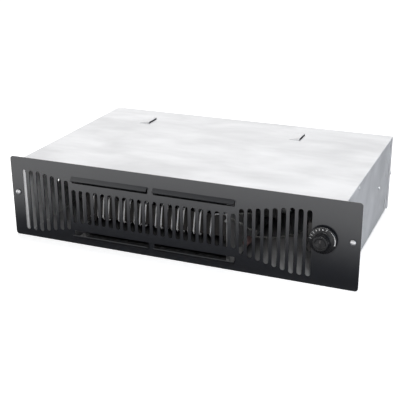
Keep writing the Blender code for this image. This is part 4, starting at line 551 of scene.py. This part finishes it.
def spun(profile, centre, axis, steps, close=False):
    """A turned solid: profile is (radius, height) and the height runs from centre along axis."""
    bm = bmesh.new()
    corners = [bm.verts.new((radius, 0, height)) for radius, height in profile]
    pairs = list(zip(corners, corners[1:])) + ([(corners[-1], corners[0])] if close else [])
    edges = [bm.edges.new(pair) for pair in pairs]
    bmesh.ops.spin(bm, geom=corners + edges, cent=(0, 0, 0), axis=(0, 0, 1), angle=FULL_TURN,
                   steps=steps, use_merge=True)
    bmesh.ops.remove_doubles(bm, verts=bm.verts, dist=0.000005)
    bmesh.ops.recalc_face_normals(bm, faces=bm.faces)
    bmesh.ops.transform(bm, matrix=facing(axis, centre), verts=bm.verts)
    return bm


def merged(target, other):
    """Adds one bmesh's faces to another."""
    mesh = bpy.data.meshes.new("joined")
    other.to_mesh(mesh)
    other.free()
    target.from_mesh(mesh)
    bpy.data.meshes.remove(mesh)


def mesh_of(curve, distance):
    """A bmesh of a curve's or a text's surface, with its doubles merged; the curve is removed."""
    holder = bpy.data.objects.new("run", curve)
    bpy.context.scene.collection.objects.link(holder)
    graph = bpy.context.evaluated_depsgraph_get()
    mesh = bpy.data.meshes.new_from_object(holder.evaluated_get(graph))
    bm = bmesh.new()
    bm.from_mesh(mesh)
    bpy.data.objects.remove(holder)
    bpy.data.curves.remove(curve)
    bpy.data.meshes.remove(mesh)
    bmesh.ops.remove_doubles(bm, verts=bm.verts, dist=distance)
    bmesh.ops.recalc_face_normals(bm, faces=bm.faces)
    return bm


def wire_mesh(points, radius):
    """A round wire through points, as a bmesh with closed ends."""
    curve = bpy.data.curves.new("run", "CURVE")
    curve.dimensions = "3D"
    curve.bevel_depth = radius
    curve.bevel_resolution = WIRE_SIDES // 2 - 2
    curve.use_fill_caps = True
    spline = curve.splines.new("POLY")
    spline.points.add(len(points) - 1)
    for point, spot in zip(spline.points, points):
        point.co = (*spot, 1)
    return mesh_of(curve, radius * 0.02)


# ---- grille --------------------------------------------------------------------
def slot_spans():
    """(centre, low, high) of each slot from the left end of the grille to the right."""
    left, middle, right = SLOT_GROUPS
    count = left + middle + right
    for index in range(count):
        x = GRILLE_LEFT + SLOT_FIRST + index * SLOT_PITCH
        if left <= index < left + middle:
            yield x, *SHORT_SLOT
        else:
            inward = max(0, min(index, count - 1 - index) - FULL_SLOTS + 1)
            yield x, FULL_SLOT[0] + SLOT_TAPER[0] * inward, FULL_SLOT[1] + SLOT_TAPER[1] * inward


def flap_section(hinge, hang):
    """The flap's section as (depth, height): down from the plate, round the bend and out."""
    middle = GRILLE_BACK - SHEET_GAUGE / 2
    root = SHEET_GAUGE / 4
    line = [(0.0, root), (0.0, 0.0)]
    line += [(-FLAP_BEND * (1 - math.cos(math.radians(a))), -FLAP_BEND * math.sin(math.radians(a)))
             for a in (FLAP_ANGLE * step / 6 for step in range(1, 7))]
    run = FLAP_LENGTH - math.radians(FLAP_ANGLE) * FLAP_BEND
    y, z = line[-1]
    slope = math.radians(FLAP_ANGLE)
    line.append((y - run * math.sin(slope), z - run * math.cos(slope)))
    one, two = [], []
    for index, (y, z) in enumerate(line):
        before = Vector(line[max(0, index - 1)])
        after = Vector(line[min(len(line) - 1, index + 1)])
        along = (after - before).normalized()
        side = Vector((-along.y, along.x)) * FLAP_HALF_GAUGE
        one.append((y + side.x, z + side.y))
        two.append((y - side.x, z - side.y))
    return [(middle + y, hinge + hang * z) for y, z in one + two[::-1]]


class HEATER_OT_grille(bpy.types.Operator):
    """Front grille: one painted panel with its slots and its four lanced flaps"""
    bl_idname = "heater.grille"
    bl_label = "Front grille"

    def execute(self, context):
        right_end = -GRILLE_LEFT
        outline = rounded((GRILLE_LEFT, 0), (right_end, GRILLE_TOP), GRILLE_CORNER, 10)
        plate = prism([outline], GRILLE_FRONT, GRILLE_BACK)
        loops = [slot_outline(x, low, high) for x, low, high in slot_spans()]
        flaps = []
        first = GRILLE_LEFT + SLOT_FIRST + SLOT_GROUPS[0] * SLOT_PITCH
        last = first + (SLOT_GROUPS[1] - 1) * SLOT_PITCH
        bar = (first + last) / 2
        for left, right in ((first - FLAP_OVERHANG, bar - FLAP_BAR / 2),
                            (bar + FLAP_BAR / 2, last + FLAP_OVERHANG)):
            for hinge, hang in FLAP_HINGES:
                low, high = sorted((hinge, hinge - hang * FLAP_OPENING))
                loops.append(rounded((left, low), (right, high), FLAP_CORNER, 5))
                flaps.append(prism([flap_section(hinge, hang)], left + FLAP_END_GAP,
                                   right - FLAP_END_GAP, "X"))
        for sign in (-1, 1):
            place = (sign * (right_end - SCREW_INSET), SCREW_HEIGHT)
            loops.append(arc(place, SCREW_HOLE, 0, 345, 23))
        loops.append(arc((KNOB_X, KNOB_Z), KNOB_HOLE, 0, 348, 29))
        holes = prism(loops, GRILLE_FRONT - OVERCUT, GRILLE_BACK + OVERCUT)
        panel = shape(shape(plate, [holes]), flaps, "UNION")
        tidy(panel)
        round_edges(panel, sizes().paint_edge, 2, 45)
        piece_from(panel, "grille_panel", "casing", "black_painted_steel", "front_grille", angle=28)
        return {"FINISHED"}


# ---- casing --------------------------------------------------------------------
class HEATER_OT_casing(bpy.types.Operator):
    """Casing: folded cover, pan and rear panel, with rounded folds and eased edges"""
    bl_idname = "heater.casing"
    bl_label = "Casing"

    def execute(self, context):
        edge = sizes().edge
        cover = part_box("top_cover")[1]
        top = cover.z - LANCE_HEIGHT
        eased("top_cover", "galvanised_steel", edge, fold=(cover.x, 2, top, -1))
        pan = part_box("chassis_pan")[0]
        eased("chassis_pan", "pan_steel", edge, fold=(cover.x - LAP, 2, pan.z, 1))
        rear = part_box("rear_panel")[1]
        eased("rear_panel", "galvanised_steel", edge, fold=(rear.x, 1, rear.y, -1))
        return {"FINISHED"}


# ---- fasteners -----------------------------------------------------------------
DOME_SHARE = 0.62             # of a pan head's height; the rest is its straight rim
RECESS_WIDTH, RECESS_REACH = 0.15, 0.62      # of the head's radius, either side of its centre
RECESS_DEPTH = 0.62           # of the head's height
RECESS_TAPER = 0.45           # an arm's reach at its bottom, as a share of that at the top


def pan_screw(node, axis, head, height, shank, arms=2, kind="bright_steel", stand=None):
    """A pan-head screw in place of a node: domed head, cross or slot recess, plain shank.

    Axis points from head to tip; stand is from the node's end to the head's seat.
    """
    low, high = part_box(node)
    main = [abs(part) for part in axis].index(1)
    stand = stand or height
    seat = (low + high) / 2
    seat[main] = low[main] + stand if axis[main] > 0 else high[main] - stand
    reach = high[main] - low[main] - stand
    steps = 8
    dome = height * DOME_SHARE
    profile = [(0, -height)]
    for step in range(1, steps + 1):
        angle = math.radians(90 * step / steps)
        profile.append((head * math.sin(angle) ** 0.9, -height + dome * (1 - math.cos(angle))))
    profile += [(head, -0.0002), (head - 0.0002, 0), (shank, 0), (shank, reach - shank),
                (shank * 0.25, reach), (0, reach)]
    bm = spun(profile, (0, 0, 0), (0, 0, 1), 48)
    recess = []
    for arm in range(arms):
        size = Vector((head * RECESS_WIDTH, head * RECESS_WIDTH, height * RECESS_DEPTH))
        size[arm] = head * RECESS_REACH
        cutter = block(-size, size)
        for vertex in cutter.verts:
            if vertex.co.z > 0:
                vertex.co[arm] *= RECESS_TAPER
        bmesh.ops.translate(cutter, vec=(0, 0, -height), verts=cutter.verts)
        recess.append(cutter)
    bm = shape(bm, recess)
    bmesh.ops.transform(bm, matrix=facing(axis, seat), verts=bm.verts)
    tidy(bm, 0.000002)
    piece_from(bm, f"{node}_head", "casing", kind, node, angle=38)


def blind_rivet(node, axis):
    """A domed rivet with its mandrel's hole, and the set end behind."""
    low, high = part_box(node)
    start = (low + high) / 2
    start.x = low.x if axis[0] > 0 else high.x
    grip = high.x - low.x
    head, tall, hole = 0.0028, 0.0011, 0.0009
    profile = [(0, hole), (0.0007, hole), (0.0008, 0.0001)]
    for angle in map(math.radians, range(0, 91, 10)):
        profile.append((hole + (head - hole) * math.sin(angle),
                        tall * 0.75 * (1 - math.cos(angle))))
    profile += [(head, tall), (0.0016, tall), (0.0016, grip - 0.0024), (0.0024, grip - 0.0022),
                (0.0025, grip - 0.0010), (0.0018, grip - 0.0002), (0, grip)]
    piece_from(spun(profile, start, axis, 40), f"{node}_dome", "casing", "bright_steel", node,
               angle=38)


class HEATER_OT_fasteners(bpy.types.Operator):
    """Fasteners: grille screws, rear panel screws and rivets"""
    bl_idname = "heater.fasteners"
    bl_label = "Screws and rivets"

    def execute(self, context):
        for side, inward in (("left", (1, 0, 0)), ("right", (-1, 0, 0))):
            pan_screw(f"grille_screw_{side}", (0, 1, 0), 0.0036, 0.0024, 0.0019)
            pan_screw(f"rear_panel_screw_{side}", inward, 0.0028, 0.0014, 0.0015)
            blind_rivet(f"cover_rivet_{side}", inward)
        blind_rivet("compartment_rivet", (-1, 0, 0))
        return {"FINISHED"}


# ---- knob ----------------------------------------------------------------------
KNOB_CAP = 0.010              # radius
KNOB_SHOULDER = 0.0103        # front face to the skirt's cone
KNOB_BORE = 0.0033            # radius
KNOB_BORE_END = 0.0037        # from the front face
FLUTE_DEPTH = 0.00018
INK = 0.00003                 # half the thickness of the print
INK_REACH = 0.00004           # how far the print's middle stands off the skirt
DIAL_START = -84              # degrees from 12 o'clock
TICK_STEP = 8.5
TICK_SHIFT = 0.0021           # outwards from the middle of the cone
WEDGE_START, WEDGE_SWEEP = 34, 72
WEDGE_SHIFT = 0.0014
WEDGE_THIN, WEDGE_THICK = 0.00012, 0.00062   # half its width at either end


class HEATER_OT_knob(bpy.types.Operator):
    """Thermostat knob: skirt, fluted cap and pointer, with its printed dial"""
    bl_idname = "heater.knob"
    bl_label = "Thermostat knob"

    def execute(self, context):
        low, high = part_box("thermostat_knob")
        front, back = low.y, high.y
        skirt, cap = (high.x - low.x) / 2, KNOB_CAP
        shoulder = front + KNOB_SHOULDER
        bore_end = front + KNOB_BORE_END
        cone_foot, cone_top = (skirt - 0.0007, back - 0.0018), (cap + 0.0016, shoulder + 0.0001)
        profile = [(KNOB_BORE, back), (skirt - 0.0003, back), (skirt, back - 0.0003),
                   (skirt, back - 0.0010), (skirt - 0.0002, back - 0.0014), cone_foot, cone_top,
                   (cap + 0.0008, shoulder - 0.0002), (cap + 0.0002, shoulder - 0.0008),
                   (cap - 0.0001, shoulder - 0.0018), (cap - 0.0005, front + 0.0014),
                   (cap - 0.0007, front + 0.0006), (cap - 0.0012, front + 0.0001),
                   (cap - 0.0017, front), (cap - 0.0028, front), (cap - 0.0033, front + 0.0003),
                   (cap - 0.0035, front + 0.0008), (cap - 0.0042, front + 0.0011),
                   (0.0, front + 0.0011), (0.0, bore_end), (KNOB_BORE, bore_end)]
        bm = spun(profile, (0, 0, 0), (0, 0, 1), 240, close=True)
        for vertex in bm.verts:
            radius = math.hypot(vertex.co.x, vertex.co.y)
            if cap - 0.00125 < radius < cap + 0.00025 and vertex.co.z < shoulder - 0.0005:
                wave = math.cos(math.atan2(vertex.co.y, vertex.co.x) * sizes().flutes)
                dip = FLUTE_DEPTH * (0.5 - 0.5 * wave) ** 1.5
                vertex.co.x *= (radius - dip) / radius
                vertex.co.y *= (radius - dip) / radius
        bmesh.ops.transform(bm, matrix=Matrix.Rotation(-math.pi / 2, 4, "X"), verts=bm.verts)
        bmesh.ops.translate(bm, vec=(KNOB_X, 0, KNOB_Z), verts=bm.verts)
        grip = block((KNOB_X - 0.0008, front + 0.0003, KNOB_Z - 0.0052),
                     (KNOB_X + 0.0008, front + 0.0025, KNOB_Z + 0.0055))
        round_edges(grip, 0.0003, 3)
        bm = shape(bm, [grip], "UNION")
        tidy(bm, 0.000002)
        piece_from(bm, "knob_moulding", "thermostat_dial", "black_plastic", "thermostat_knob",
                   angle=30)
        self.dial(front, Vector(cone_top), Vector(cone_foot))
        return {"FINISHED"}

    def dial(self, front, inner, outer):
        """Numbers, ticks and a wedge on the skirt's cone, and the pointer's line on the cap."""
        slope = math.atan2(outer.y - inner.y, outer.x - inner.x)
        middle = (inner + outer) / 2
        bm = bmesh.new()

        def lay(part, degrees, radius_shift=0.0):
            """Lays a flat mesh, drawn about its middle, on the cone at an angle from 12 o'clock."""
            spot = middle + Vector((math.cos(slope), math.sin(slope))) * radius_shift
            stand = (Matrix.Translation((KNOB_X, 0, KNOB_Z))
                     @ Matrix.Rotation(math.radians(degrees), 4, "Y")
                     @ Matrix.Translation((0, spot.y - INK_REACH, spot.x))
                     @ Matrix.Rotation(-slope, 4, "X") @ Matrix.Rotation(math.pi / 2, 4, "X"))
            bmesh.ops.transform(part, matrix=stand, verts=part.verts)
            merged(bm, part)

        def mark(wide, tall):
            return block((-wide, -tall, -INK), (wide, tall, INK))

        for index, figure in enumerate("1234567"):
            curve = bpy.data.curves.new("figure", "FONT")
            curve.body = figure
            curve.size = sizes().numeral
            curve.extrude = INK
            curve.offset = 0.00008
            curve.align_x = curve.align_y = "CENTER"
            lay(mesh_of(curve, 0.0000005), DIAL_START + 2 * TICK_STEP * index)
        for index in range(13):
            lay(mark(0.00010, 0.00030), DIAL_START + TICK_STEP * index, TICK_SHIFT)
        steps = 36
        wide = math.radians(WEDGE_SWEEP / steps) * middle.x * 0.53      # each overlaps the next
        for index in range(steps):
            share = (index + 0.5) / steps
            tall = WEDGE_THIN + (WEDGE_THICK - WEDGE_THIN) * share
            lay(mark(wide, tall), WEDGE_START + WEDGE_SWEEP * share, WEDGE_SHIFT)
        piece_from(bm, "dial_print", "thermostat_dial", "dial_print", angle=30)
        line = block((KNOB_X - 0.0003, front + 0.00022, KNOB_Z + 0.0010),
                     (KNOB_X + 0.0003, front + 0.0004, KNOB_Z + 0.0050))
        piece_from(line, "pointer_print", "thermostat_dial", "pointer_print", angle=30)


# ---- element -------------------------------------------------------------------
CURLS = 23
CURL_PITCH = 0.00753
CURL_BEND = 0.0062            # radius of the bends over the board
CURL_REACH = 0.0112           # half a straight side
COIL_TURNS = (-0.15, CURLS - 0.88)      # the turns at which the coil starts and ends
COIL_HEIGHT = 0.0513
LEAD_DEPTH = 0.0052           # front of the coil's box to its straight ends
LEAD_OUT_HEIGHT = 0.0665
STUD_SEAT = 0.0042            # front end of a stud to the seat of its head
WASHER_BORE, WASHER_EDGE = 0.0015, 0.0023        # radii
WASHER_FRONT, WASHER_BACK = -0.0011, -0.0001     # from the stud's seat


class HEATER_OT_element(bpy.types.Operator):
    """Element: the open coil of heating wire, its mica board, studs and return wire"""
    bl_idname = "heater.element"
    bl_label = "Heating element"

    def execute(self, context):
        low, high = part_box("heating_coil")
        board_low, board_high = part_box("mica_board")
        board = (board_low + board_high) / 2
        radius = sizes().wire
        start = board.x - CURLS * CURL_PITCH / 2
        turn_length = FULL_TURN * CURL_BEND + 4 * CURL_REACH

        def coil(turn):
            """A point on the flattened coil: up the front, over the board, down the back."""
            run = (turn % 1.0) * turn_length
            side = 1
            if run > turn_length / 2:
                run, side = run - turn_length / 2, -1
            if run <= CURL_REACH:
                y, z = -CURL_BEND, run
            elif run <= CURL_REACH + math.pi * CURL_BEND:
                angle = (run - CURL_REACH) / CURL_BEND
                y, z = -CURL_BEND * math.cos(angle), CURL_REACH + CURL_BEND * math.sin(angle)
            else:
                y, z = CURL_BEND, 2 * CURL_REACH + math.pi * CURL_BEND - run
            return Vector((start + CURL_PITCH * turn, board.y + side * y, COIL_HEIGHT + side * z))

        first, last = COIL_TURNS
        count = round((last - first) * 32)
        body = [coil(first + (last - first) * step / count) for step in range(count + 1)]
        left_end = Vector((low.x + radius * 0.2, low.y + LEAD_DEPTH, body[0].z))
        right_end = Vector((high.x, left_end.y, LEAD_OUT_HEIGHT))
        knee = body[-1].lerp(right_end, 0.35)
        knee.z = right_end.z
        lead_in = [left_end.lerp(body[0], share) for share in (0.0, 0.35, 0.7)]
        lead_out = [body[-1].lerp(knee, 0.5) + Vector((0, 0, 0.0003)), knee,
                    knee.lerp(right_end, 0.5), right_end]
        bm = wire_mesh(lead_in + body + lead_out, radius)
        piece_from(bm, "heating_coil_wire", "casing", "resistance_wire", "heating_coil", angle=60)
        eased("mica_board", "mica_board", 0.00012, 1)
        for place in ("left", "high", "low"):
            node = f"element_stud_{place}"
            pan_screw(node, (0, 1, 0), 0.0023, 0.0030, 0.0014, 1, stand=STUD_SEAT)
            low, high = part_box(node)
            centre = (low + high) / 2
            ring = [(WASHER_BORE, WASHER_FRONT), (WASHER_EDGE, WASHER_FRONT),
                    (WASHER_EDGE, WASHER_BACK), (WASHER_BORE, WASHER_BACK)]
            washer = spun(ring, (centre.x, low.y + STUD_SEAT, centre.z), (0, 1, 0), 32, close=True)
            piece_from(washer, f"{node}_washer", "casing", "brass")
        soften_wire("element_return_wire", "resistance_wire")
        return {"FINISHED"}


def soften_wire(node, kind):
    """A node's faceted tube as a round one, by two subdivisions."""
    bm = bmesh.new()
    bm.from_mesh(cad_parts[node].data)
    bmesh.ops.remove_doubles(bm, verts=bm.verts, dist=0.00001)
    bmesh.ops.join_triangles(bm, faces=bm.faces, angle_face_threshold=math.radians(25),
                             angle_shape_threshold=math.radians(50))
    piece = piece_from(bm, f"{node}_round", "casing", kind, node, angle=60)
    finer = piece.modifiers.new("round", "SUBSURF")
    finer.levels = finer.render_levels = 2


# ---- duct and blower -------------------------------------------------------------
class HEATER_OT_duct(bpy.types.Operator):
    """Duct: two end plates, roof and scroll wall"""
    bl_idname = "heater.duct"
    bl_label = "Air duct"

    def execute(self, context):
        # painted shade: the end plates take the darkened copy of the sheet
        for node in ("duct_plate_left", "duct_plate_right"):
            eased(node, "duct_steel", 0.00018)
        # painted shade: roof and scroll wall take the near-black copy of the sheet
        for node in ("scroll_wall", "duct_roof"):
            eased(node, "shade_darkened_steel", 0.00018)
        return {"FINISHED"}


class HEATER_OT_blower(bpy.types.Operator):
    """Blower: cross-flow wheel, its axle, bearing and grommet"""
    bl_idname = "heater.blower"
    bl_label = "Cross-flow blower"

    def execute(self, context):
        low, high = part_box("blower_wheel")
        middle = (low + high) / 2
        rim, disc, inner_rim = 0.0312, 0.002, 0.0195
        bore, boss, boss_end = 0.0028, 0.0068, 0.0140
        bm = bmesh.new()
        hub = [(bore, 0.0), (rim - 0.0003, 0.0), (rim, 0.0003), (rim, disc - 0.0003),
               (rim - 0.0003, disc), (boss + 0.0006, disc), (boss + 0.0002, disc + 0.0004),
               (boss, boss_end - 0.0004), (boss - 0.0004, boss_end), (bore, boss_end)]
        ring = [(inner_rim, -disc / 2), (rim, -disc / 2), (rim, disc / 2), (inner_rim, disc / 2)]
        for profile, x, way in ((hub, low.x, 1), (hub, high.x, -1), (ring, middle.x, 1)):
            merged(bm, spun(profile, (x, middle.y, middle.z), (way, 0, 0), 72, close=True))
        count, steps = 24, 6
        root, blade_depth, lean, half_gauge = 0.0235, 0.0065, 10.5, 0.00042
        for index in range(count):
            outer, inner = [], []
            for step in range(steps + 1):
                share = step / steps
                radius = root + blade_depth * share
                bend = math.radians(360 * index / count + lean * share ** 1.7)
                for side, points in ((1, outer), (-1, inner)):
                    angle = bend + side * half_gauge / radius
                    points.append((middle.y + radius * math.cos(angle),
                                   middle.z + radius * math.sin(angle)))
            merged(bm, prism([outer[::-1] + inner], low.x + disc / 2, high.x - disc / 2, "X"))
        piece_from(bm, "blower_wheel_vanes", "blower_rotor", "aluminium", "blower_wheel", angle=30)
        for node in ("stub_axle", "motor_shaft"):
            eased(node, "bright_steel", 0.0003, angle=40, body="blower_rotor")
        eased("bearing_grommet", "black_rubber", 0.0003, angle=40)
        eased("stub_bearing", "sintered_bronze", 0.0003, angle=40)
        return {"FINISHED"}


class HEATER_OT_motor(bpy.types.Operator):
    """Motor: stator, winding, brackets, bearings, spacers, long screws, rotor and cooling fan"""
    bl_idname = "heater.motor"
    bl_label = "Fan motor"

    def execute(self, context):
        eased("stator_core", "lamination_steel", 0.0003)
        eased("stator_winding", "winding_tape", 0.0008, 3, 30)
        for node in ("motor_bracket_inner", "motor_bracket_outer"):
            eased(node, "aluminium", sizes().moulding_edge)
        for node in ("motor_bearing_inner", "motor_bearing_outer"):
            eased(node, "sintered_bronze", 0.0003, angle=40)
        for node in ("motor_spacer_low", "motor_spacer_high"):
            eased(node, "black_rubber", 0.0003, angle=40)
        for node in ("motor_screw_low", "motor_screw_high"):
            pan_screw(node, (-1, 0, 0), 0.0034, 0.0022, 0.0019, 1)
        eased("rotor_core", "lamination_steel", 0.0003, angle=40, body="blower_rotor")
        eased("motor_cooling_fan", "black_plastic", 0.0002, 1, body="blower_rotor")
        return {"FINISHED"}


# ---- controls and wiring ---------------------------------------------------------
class HEATER_OT_controls(bpy.types.Operator):
    """Controls: thermostat, nut, spindle and limit thermostat"""
    bl_idname = "heater.controls"
    bl_label = "Thermostats"

    def execute(self, context):
        eased("thermostat_body", "dark_phenolic", 0.00035)
        eased("thermostat_nut", "brass", 0.0003)
        eased("thermostat_spindle", "bright_steel", 0.0003, angle=40, body="thermostat_dial")
        eased("limit_thermostat", "dark_phenolic", 0.0002)
        return {"FINISHED"}


LEADS = ("lead_supply_line", "lead_thermostat_limiter", "lead_limiter_element",
         "lead_element_neutral", "lead_supply_neutral", "lead_motor_line", "lead_motor_neutral")


class HEATER_OT_wiring(bpy.types.Operator):
    """Wiring: compartment wall, terminal block, earth screw, cable bush, connector and leads"""
    bl_idname = "heater.wiring"
    bl_label = "Wiring"

    def execute(self, context):
        # painted shade: the compartment wall takes the darkened copy of the sheet
        eased("wiring_compartment", "duct_steel", 0.0002)
        eased("terminal_block", "cream_plastic", 0.0004)
        eased("cable_bush", "black_plastic", 0.0003, angle=40)
        eased("wire_connector", "red_plastic", 0.0004, angle=35)
        pan_screw("earth_screw", (0, 0, -1), 0.0038, 0.0024, 0.002, 1, "brass")
        for node in LEADS:
            soften_wire(node, "black_lead" if node.endswith("line") else "white_lead")
        return {"FINISHED"}


# ---- stage -----------------------------------------------------------------------
CAMERA_TARGET = Vector((-0.0230, 0.0120, 0.0277))
CAMERA_BACK = Vector((0.3605, -0.8599, 0.3615)).normalized()
CAMERA_DISTANCE = 1.21165
CAMERA_ROLL = -0.4103
CAMERA_LENS = 77.607
FLOOR_SIZE = 9.0
FLOOR_SQUASH = (0.6, 1.0, 1.0)   # the floor's zones are ovals, longer in X
FLOOR_FADE = (0.215, 0.385)      # painted shadow: as a mirror the floor is dark nearer than this, bright beyond it
FLOOR_WHITE = (0.62, 0.90, 0.5, 1.6)     # glow for the camera, near and far; those two reaches
# painted shade: the floor's own colour as a mirror, dark everywhere under the painted glow
FLOOR_MIRRORED = (0.08, 0.08, 0.09)
FLOOR_GLINT = 0.22               # painted reflection: beside the casing the mirrored floor's glow is even
BESIDE_CASING = (-0.16, -0.06)   # Y
WHITE = (1.0, 1.0, 1.0, 1.0)
# a dark patch overhead and in front, which the upper flaps mirror: axis, none, full
DARK_PATCH = (("X", -0.49, -0.40), ("Y", 0.15, 0.0), ("Y", -0.80, -0.50), ("Z", 0.45, 0.70))
HEATER_FRONT = (0.0, -0.1, 0.05)


class HEATER_OT_stage(bpy.types.Operator):
    """Stage: pale floor, soft lights and the camera"""
    bl_idname = "heater.stage"
    bl_label = "Studio"

    def execute(self, context):
        self.floor()
        self.world(context.scene)
        self.lamp("overhead_softbox", (-0.25, 0.40, 1.50), (0.0, 0.02, 0.05), (0.9, 0.7), 15.3,
                  glossy=False)
        self.lamp("side_softbox", (1.45, -0.25, 0.6), (0.2, 0.0, 0.05), (0.7, 0.7), 2.7,
                  (0.56, 0.75, 1.0))
        self.lamp("front_lamp", (0.38, -0.85, 1.20), HEATER_FRONT, (0.22, 0.22), 4.5)
        self.lamp("low_fill", (0.50, -1.05, 0.78), HEATER_FRONT, (0.22, 0.22), 3.4, glossy=False)
        self.camera(context.scene)
        return {"FINISHED"}

    def floor(self):
        """A matte floor that fades to white for the camera; as a mirror it shows a painted shadow
        near the heater and a painted glow beyond.
        """
        bm = bmesh.new()
        bmesh.ops.create_grid(bm, x_segments=1, y_segments=1, size=FLOOR_SIZE)
        mesh = bpy.data.meshes.new("studio_floor")
        bm.to_mesh(mesh)
        bm.free()
        material = bpy.data.materials.new("studio_floor_paper")
        g = Graph(material)
        g.nodes.clear()
        place = g.add("TexCoord", {}, "Object")
        oval = g.add("Mapping", {"Vector": place, "Scale": FLOOR_SQUASH})
        reach = g.add("VectorMath", {0: oval}, "Value", operation="LENGTH")
        far = g.span(reach, 0.0, 1.2, *FLOOR_FADE, curve="SMOOTHSTEP")
        beside = g.span(g.along("Y", place), 0.0, 1.0, *BESIDE_CASING)
        glint = g.add("Mix", {0: beside, 2: far, 3: FLOOR_GLINT})
        seen = g.maths("MULTIPLY", g.ray("Camera"), g.span(reach, *FLOOR_WHITE))
        shown = g.maths("MULTIPLY", g.ray("Glossy"), glint)
        tone = g.blend(g.ray("Glossy"), colours().floor, FLOOR_MIRRORED)
        matte = g.add("BsdfDiffuse", {"Color": tone})
        glow = g.add("Emission", {"Strength": g.maths("ADD", seen, shown)})
        g.ends_in("OutputMaterial", g.add("AddShader", {0: matte, 1: glow}))
        mesh.materials.append(material)
        floor = bpy.data.objects.new("studio_floor", mesh)
        bpy.context.scene.collection.objects.link(floor)

    def world(self, scene):
        """White to the camera, dim as a light; as a mirror, darker in front and in one patch."""
        scene.world = bpy.data.worlds.new("studio")
        g = Graph(scene.world)
        g.nodes.clear()
        way = g.add("TexCoord", {}, "Generated")
        patch = 1.0
        for axis, start, end in DARK_PATCH:
            edge = g.span(g.along(axis, way), 0.0, 1.0, start, end)
            patch = g.maths("MULTIPLY", edge, patch)
        front = g.span(g.along("Y", way), 0.45, 1.0, -0.6, -0.1)
        shown = g.maths("MULTIPLY", g.maths("MULTIPLY", g.ray("Glossy"), front),
                        g.span(patch, 1.0, 0.03))
        seen = g.maths("ADD", g.ray("Camera"), g.ray("Transmission"))
        strength = g.span(g.maths("ADD", seen, shown), 0.14, 1.0)
        g.ends_in("OutputWorld", g.add("Background", {"Color": WHITE, "Strength": strength}))

    def lamp(self, name, place, aim, size, power, tint=WHITE[:3], glossy=True):
        light = bpy.data.lights.new(name, "AREA")
        light.shape = "RECTANGLE"
        light.size, light.size_y = size
        light.energy = power
        light.color = tint
        lamp = bpy.data.objects.new(name, light)
        lamp.location = place
        lamp.rotation_euler = (Vector(place) - Vector(aim)).to_track_quat("Z", "Y").to_euler()
        lamp.visible_camera = False
        lamp.visible_glossy = glossy
        bpy.context.scene.collection.objects.link(lamp)

    def camera(self, scene):
        data = bpy.data.cameras.new("camera")
        data.sensor_width = 36.0
        data.lens = CAMERA_LENS
        data.clip_start, data.clip_end = 0.05, 50.0
        camera = bpy.data.objects.new("camera", data)
        across = Vector((0, 0, 1)).cross(CAMERA_BACK).normalized()
        up = CAMERA_BACK.cross(across)
        roll = math.radians(CAMERA_ROLL)
        right = math.cos(roll) * across + math.sin(roll) * up
        above = math.cos(roll) * up - math.sin(roll) * across
        turn = Matrix((right, above, CAMERA_BACK)).transposed().to_4x4()
        place = CAMERA_TARGET + CAMERA_BACK * CAMERA_DISTANCE
        camera.matrix_world = Matrix.Translation(place) @ turn
        scene.collection.objects.link(camera)
        scene.camera = camera
        scene.view_settings.view_transform = "Standard"


# ---- add-on ----------------------------------------------------------------------
PIECES = (HEATER_OT_grille, HEATER_OT_casing, HEATER_OT_fasteners, HEATER_OT_knob,
          HEATER_OT_element, HEATER_OT_duct, HEATER_OT_blower, HEATER_OT_motor,
          HEATER_OT_controls, HEATER_OT_wiring)


class HEATER_PT_panel(bpy.types.Panel):
    """The heater's pieces and settings"""
    bl_idname = "HEATER_PT_panel"
    bl_label = "Plinth fan heater"
    bl_space_type = "VIEW_3D"
    bl_region_type = "UI"
    bl_category = "Heater"

    def draw(self, context):
        layout = self.layout
        for group in (context.scene.heater_sizes, context.scene.heater_colours):
            box = layout.box()
            for name in group.__annotations__:
                box.prop(group, name)
        for operator in (*PIECES, HEATER_OT_stage):
            layout.operator(operator.bl_idname)


CLASSES = (HeaterSizes, HeaterColours, *PIECES, HEATER_OT_stage, HEATER_PT_panel)


def register():
    for item in CLASSES:
        bpy.utils.register_class(item)
    bpy.types.Scene.heater_sizes = PointerProperty(type=HeaterSizes)
    bpy.types.Scene.heater_colours = PointerProperty(type=HeaterColours)


def unregister():
    del bpy.types.Scene.heater_colours
    del bpy.types.Scene.heater_sizes
    for item in reversed(CLASSES):
        bpy.utils.unregister_class(item)


def main():
    register()
    bpy.ops.heater.grille()
    bpy.ops.heater.casing()
    bpy.ops.heater.fasteners()
    bpy.ops.heater.knob()
    bpy.ops.heater.element()
    bpy.ops.heater.duct()
    bpy.ops.heater.blower()
    bpy.ops.heater.motor()
    bpy.ops.heater.controls()
    bpy.ops.heater.wiring()
    bpy.ops.heater.stage()
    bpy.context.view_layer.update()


if __name__ == "__main__":
    main()
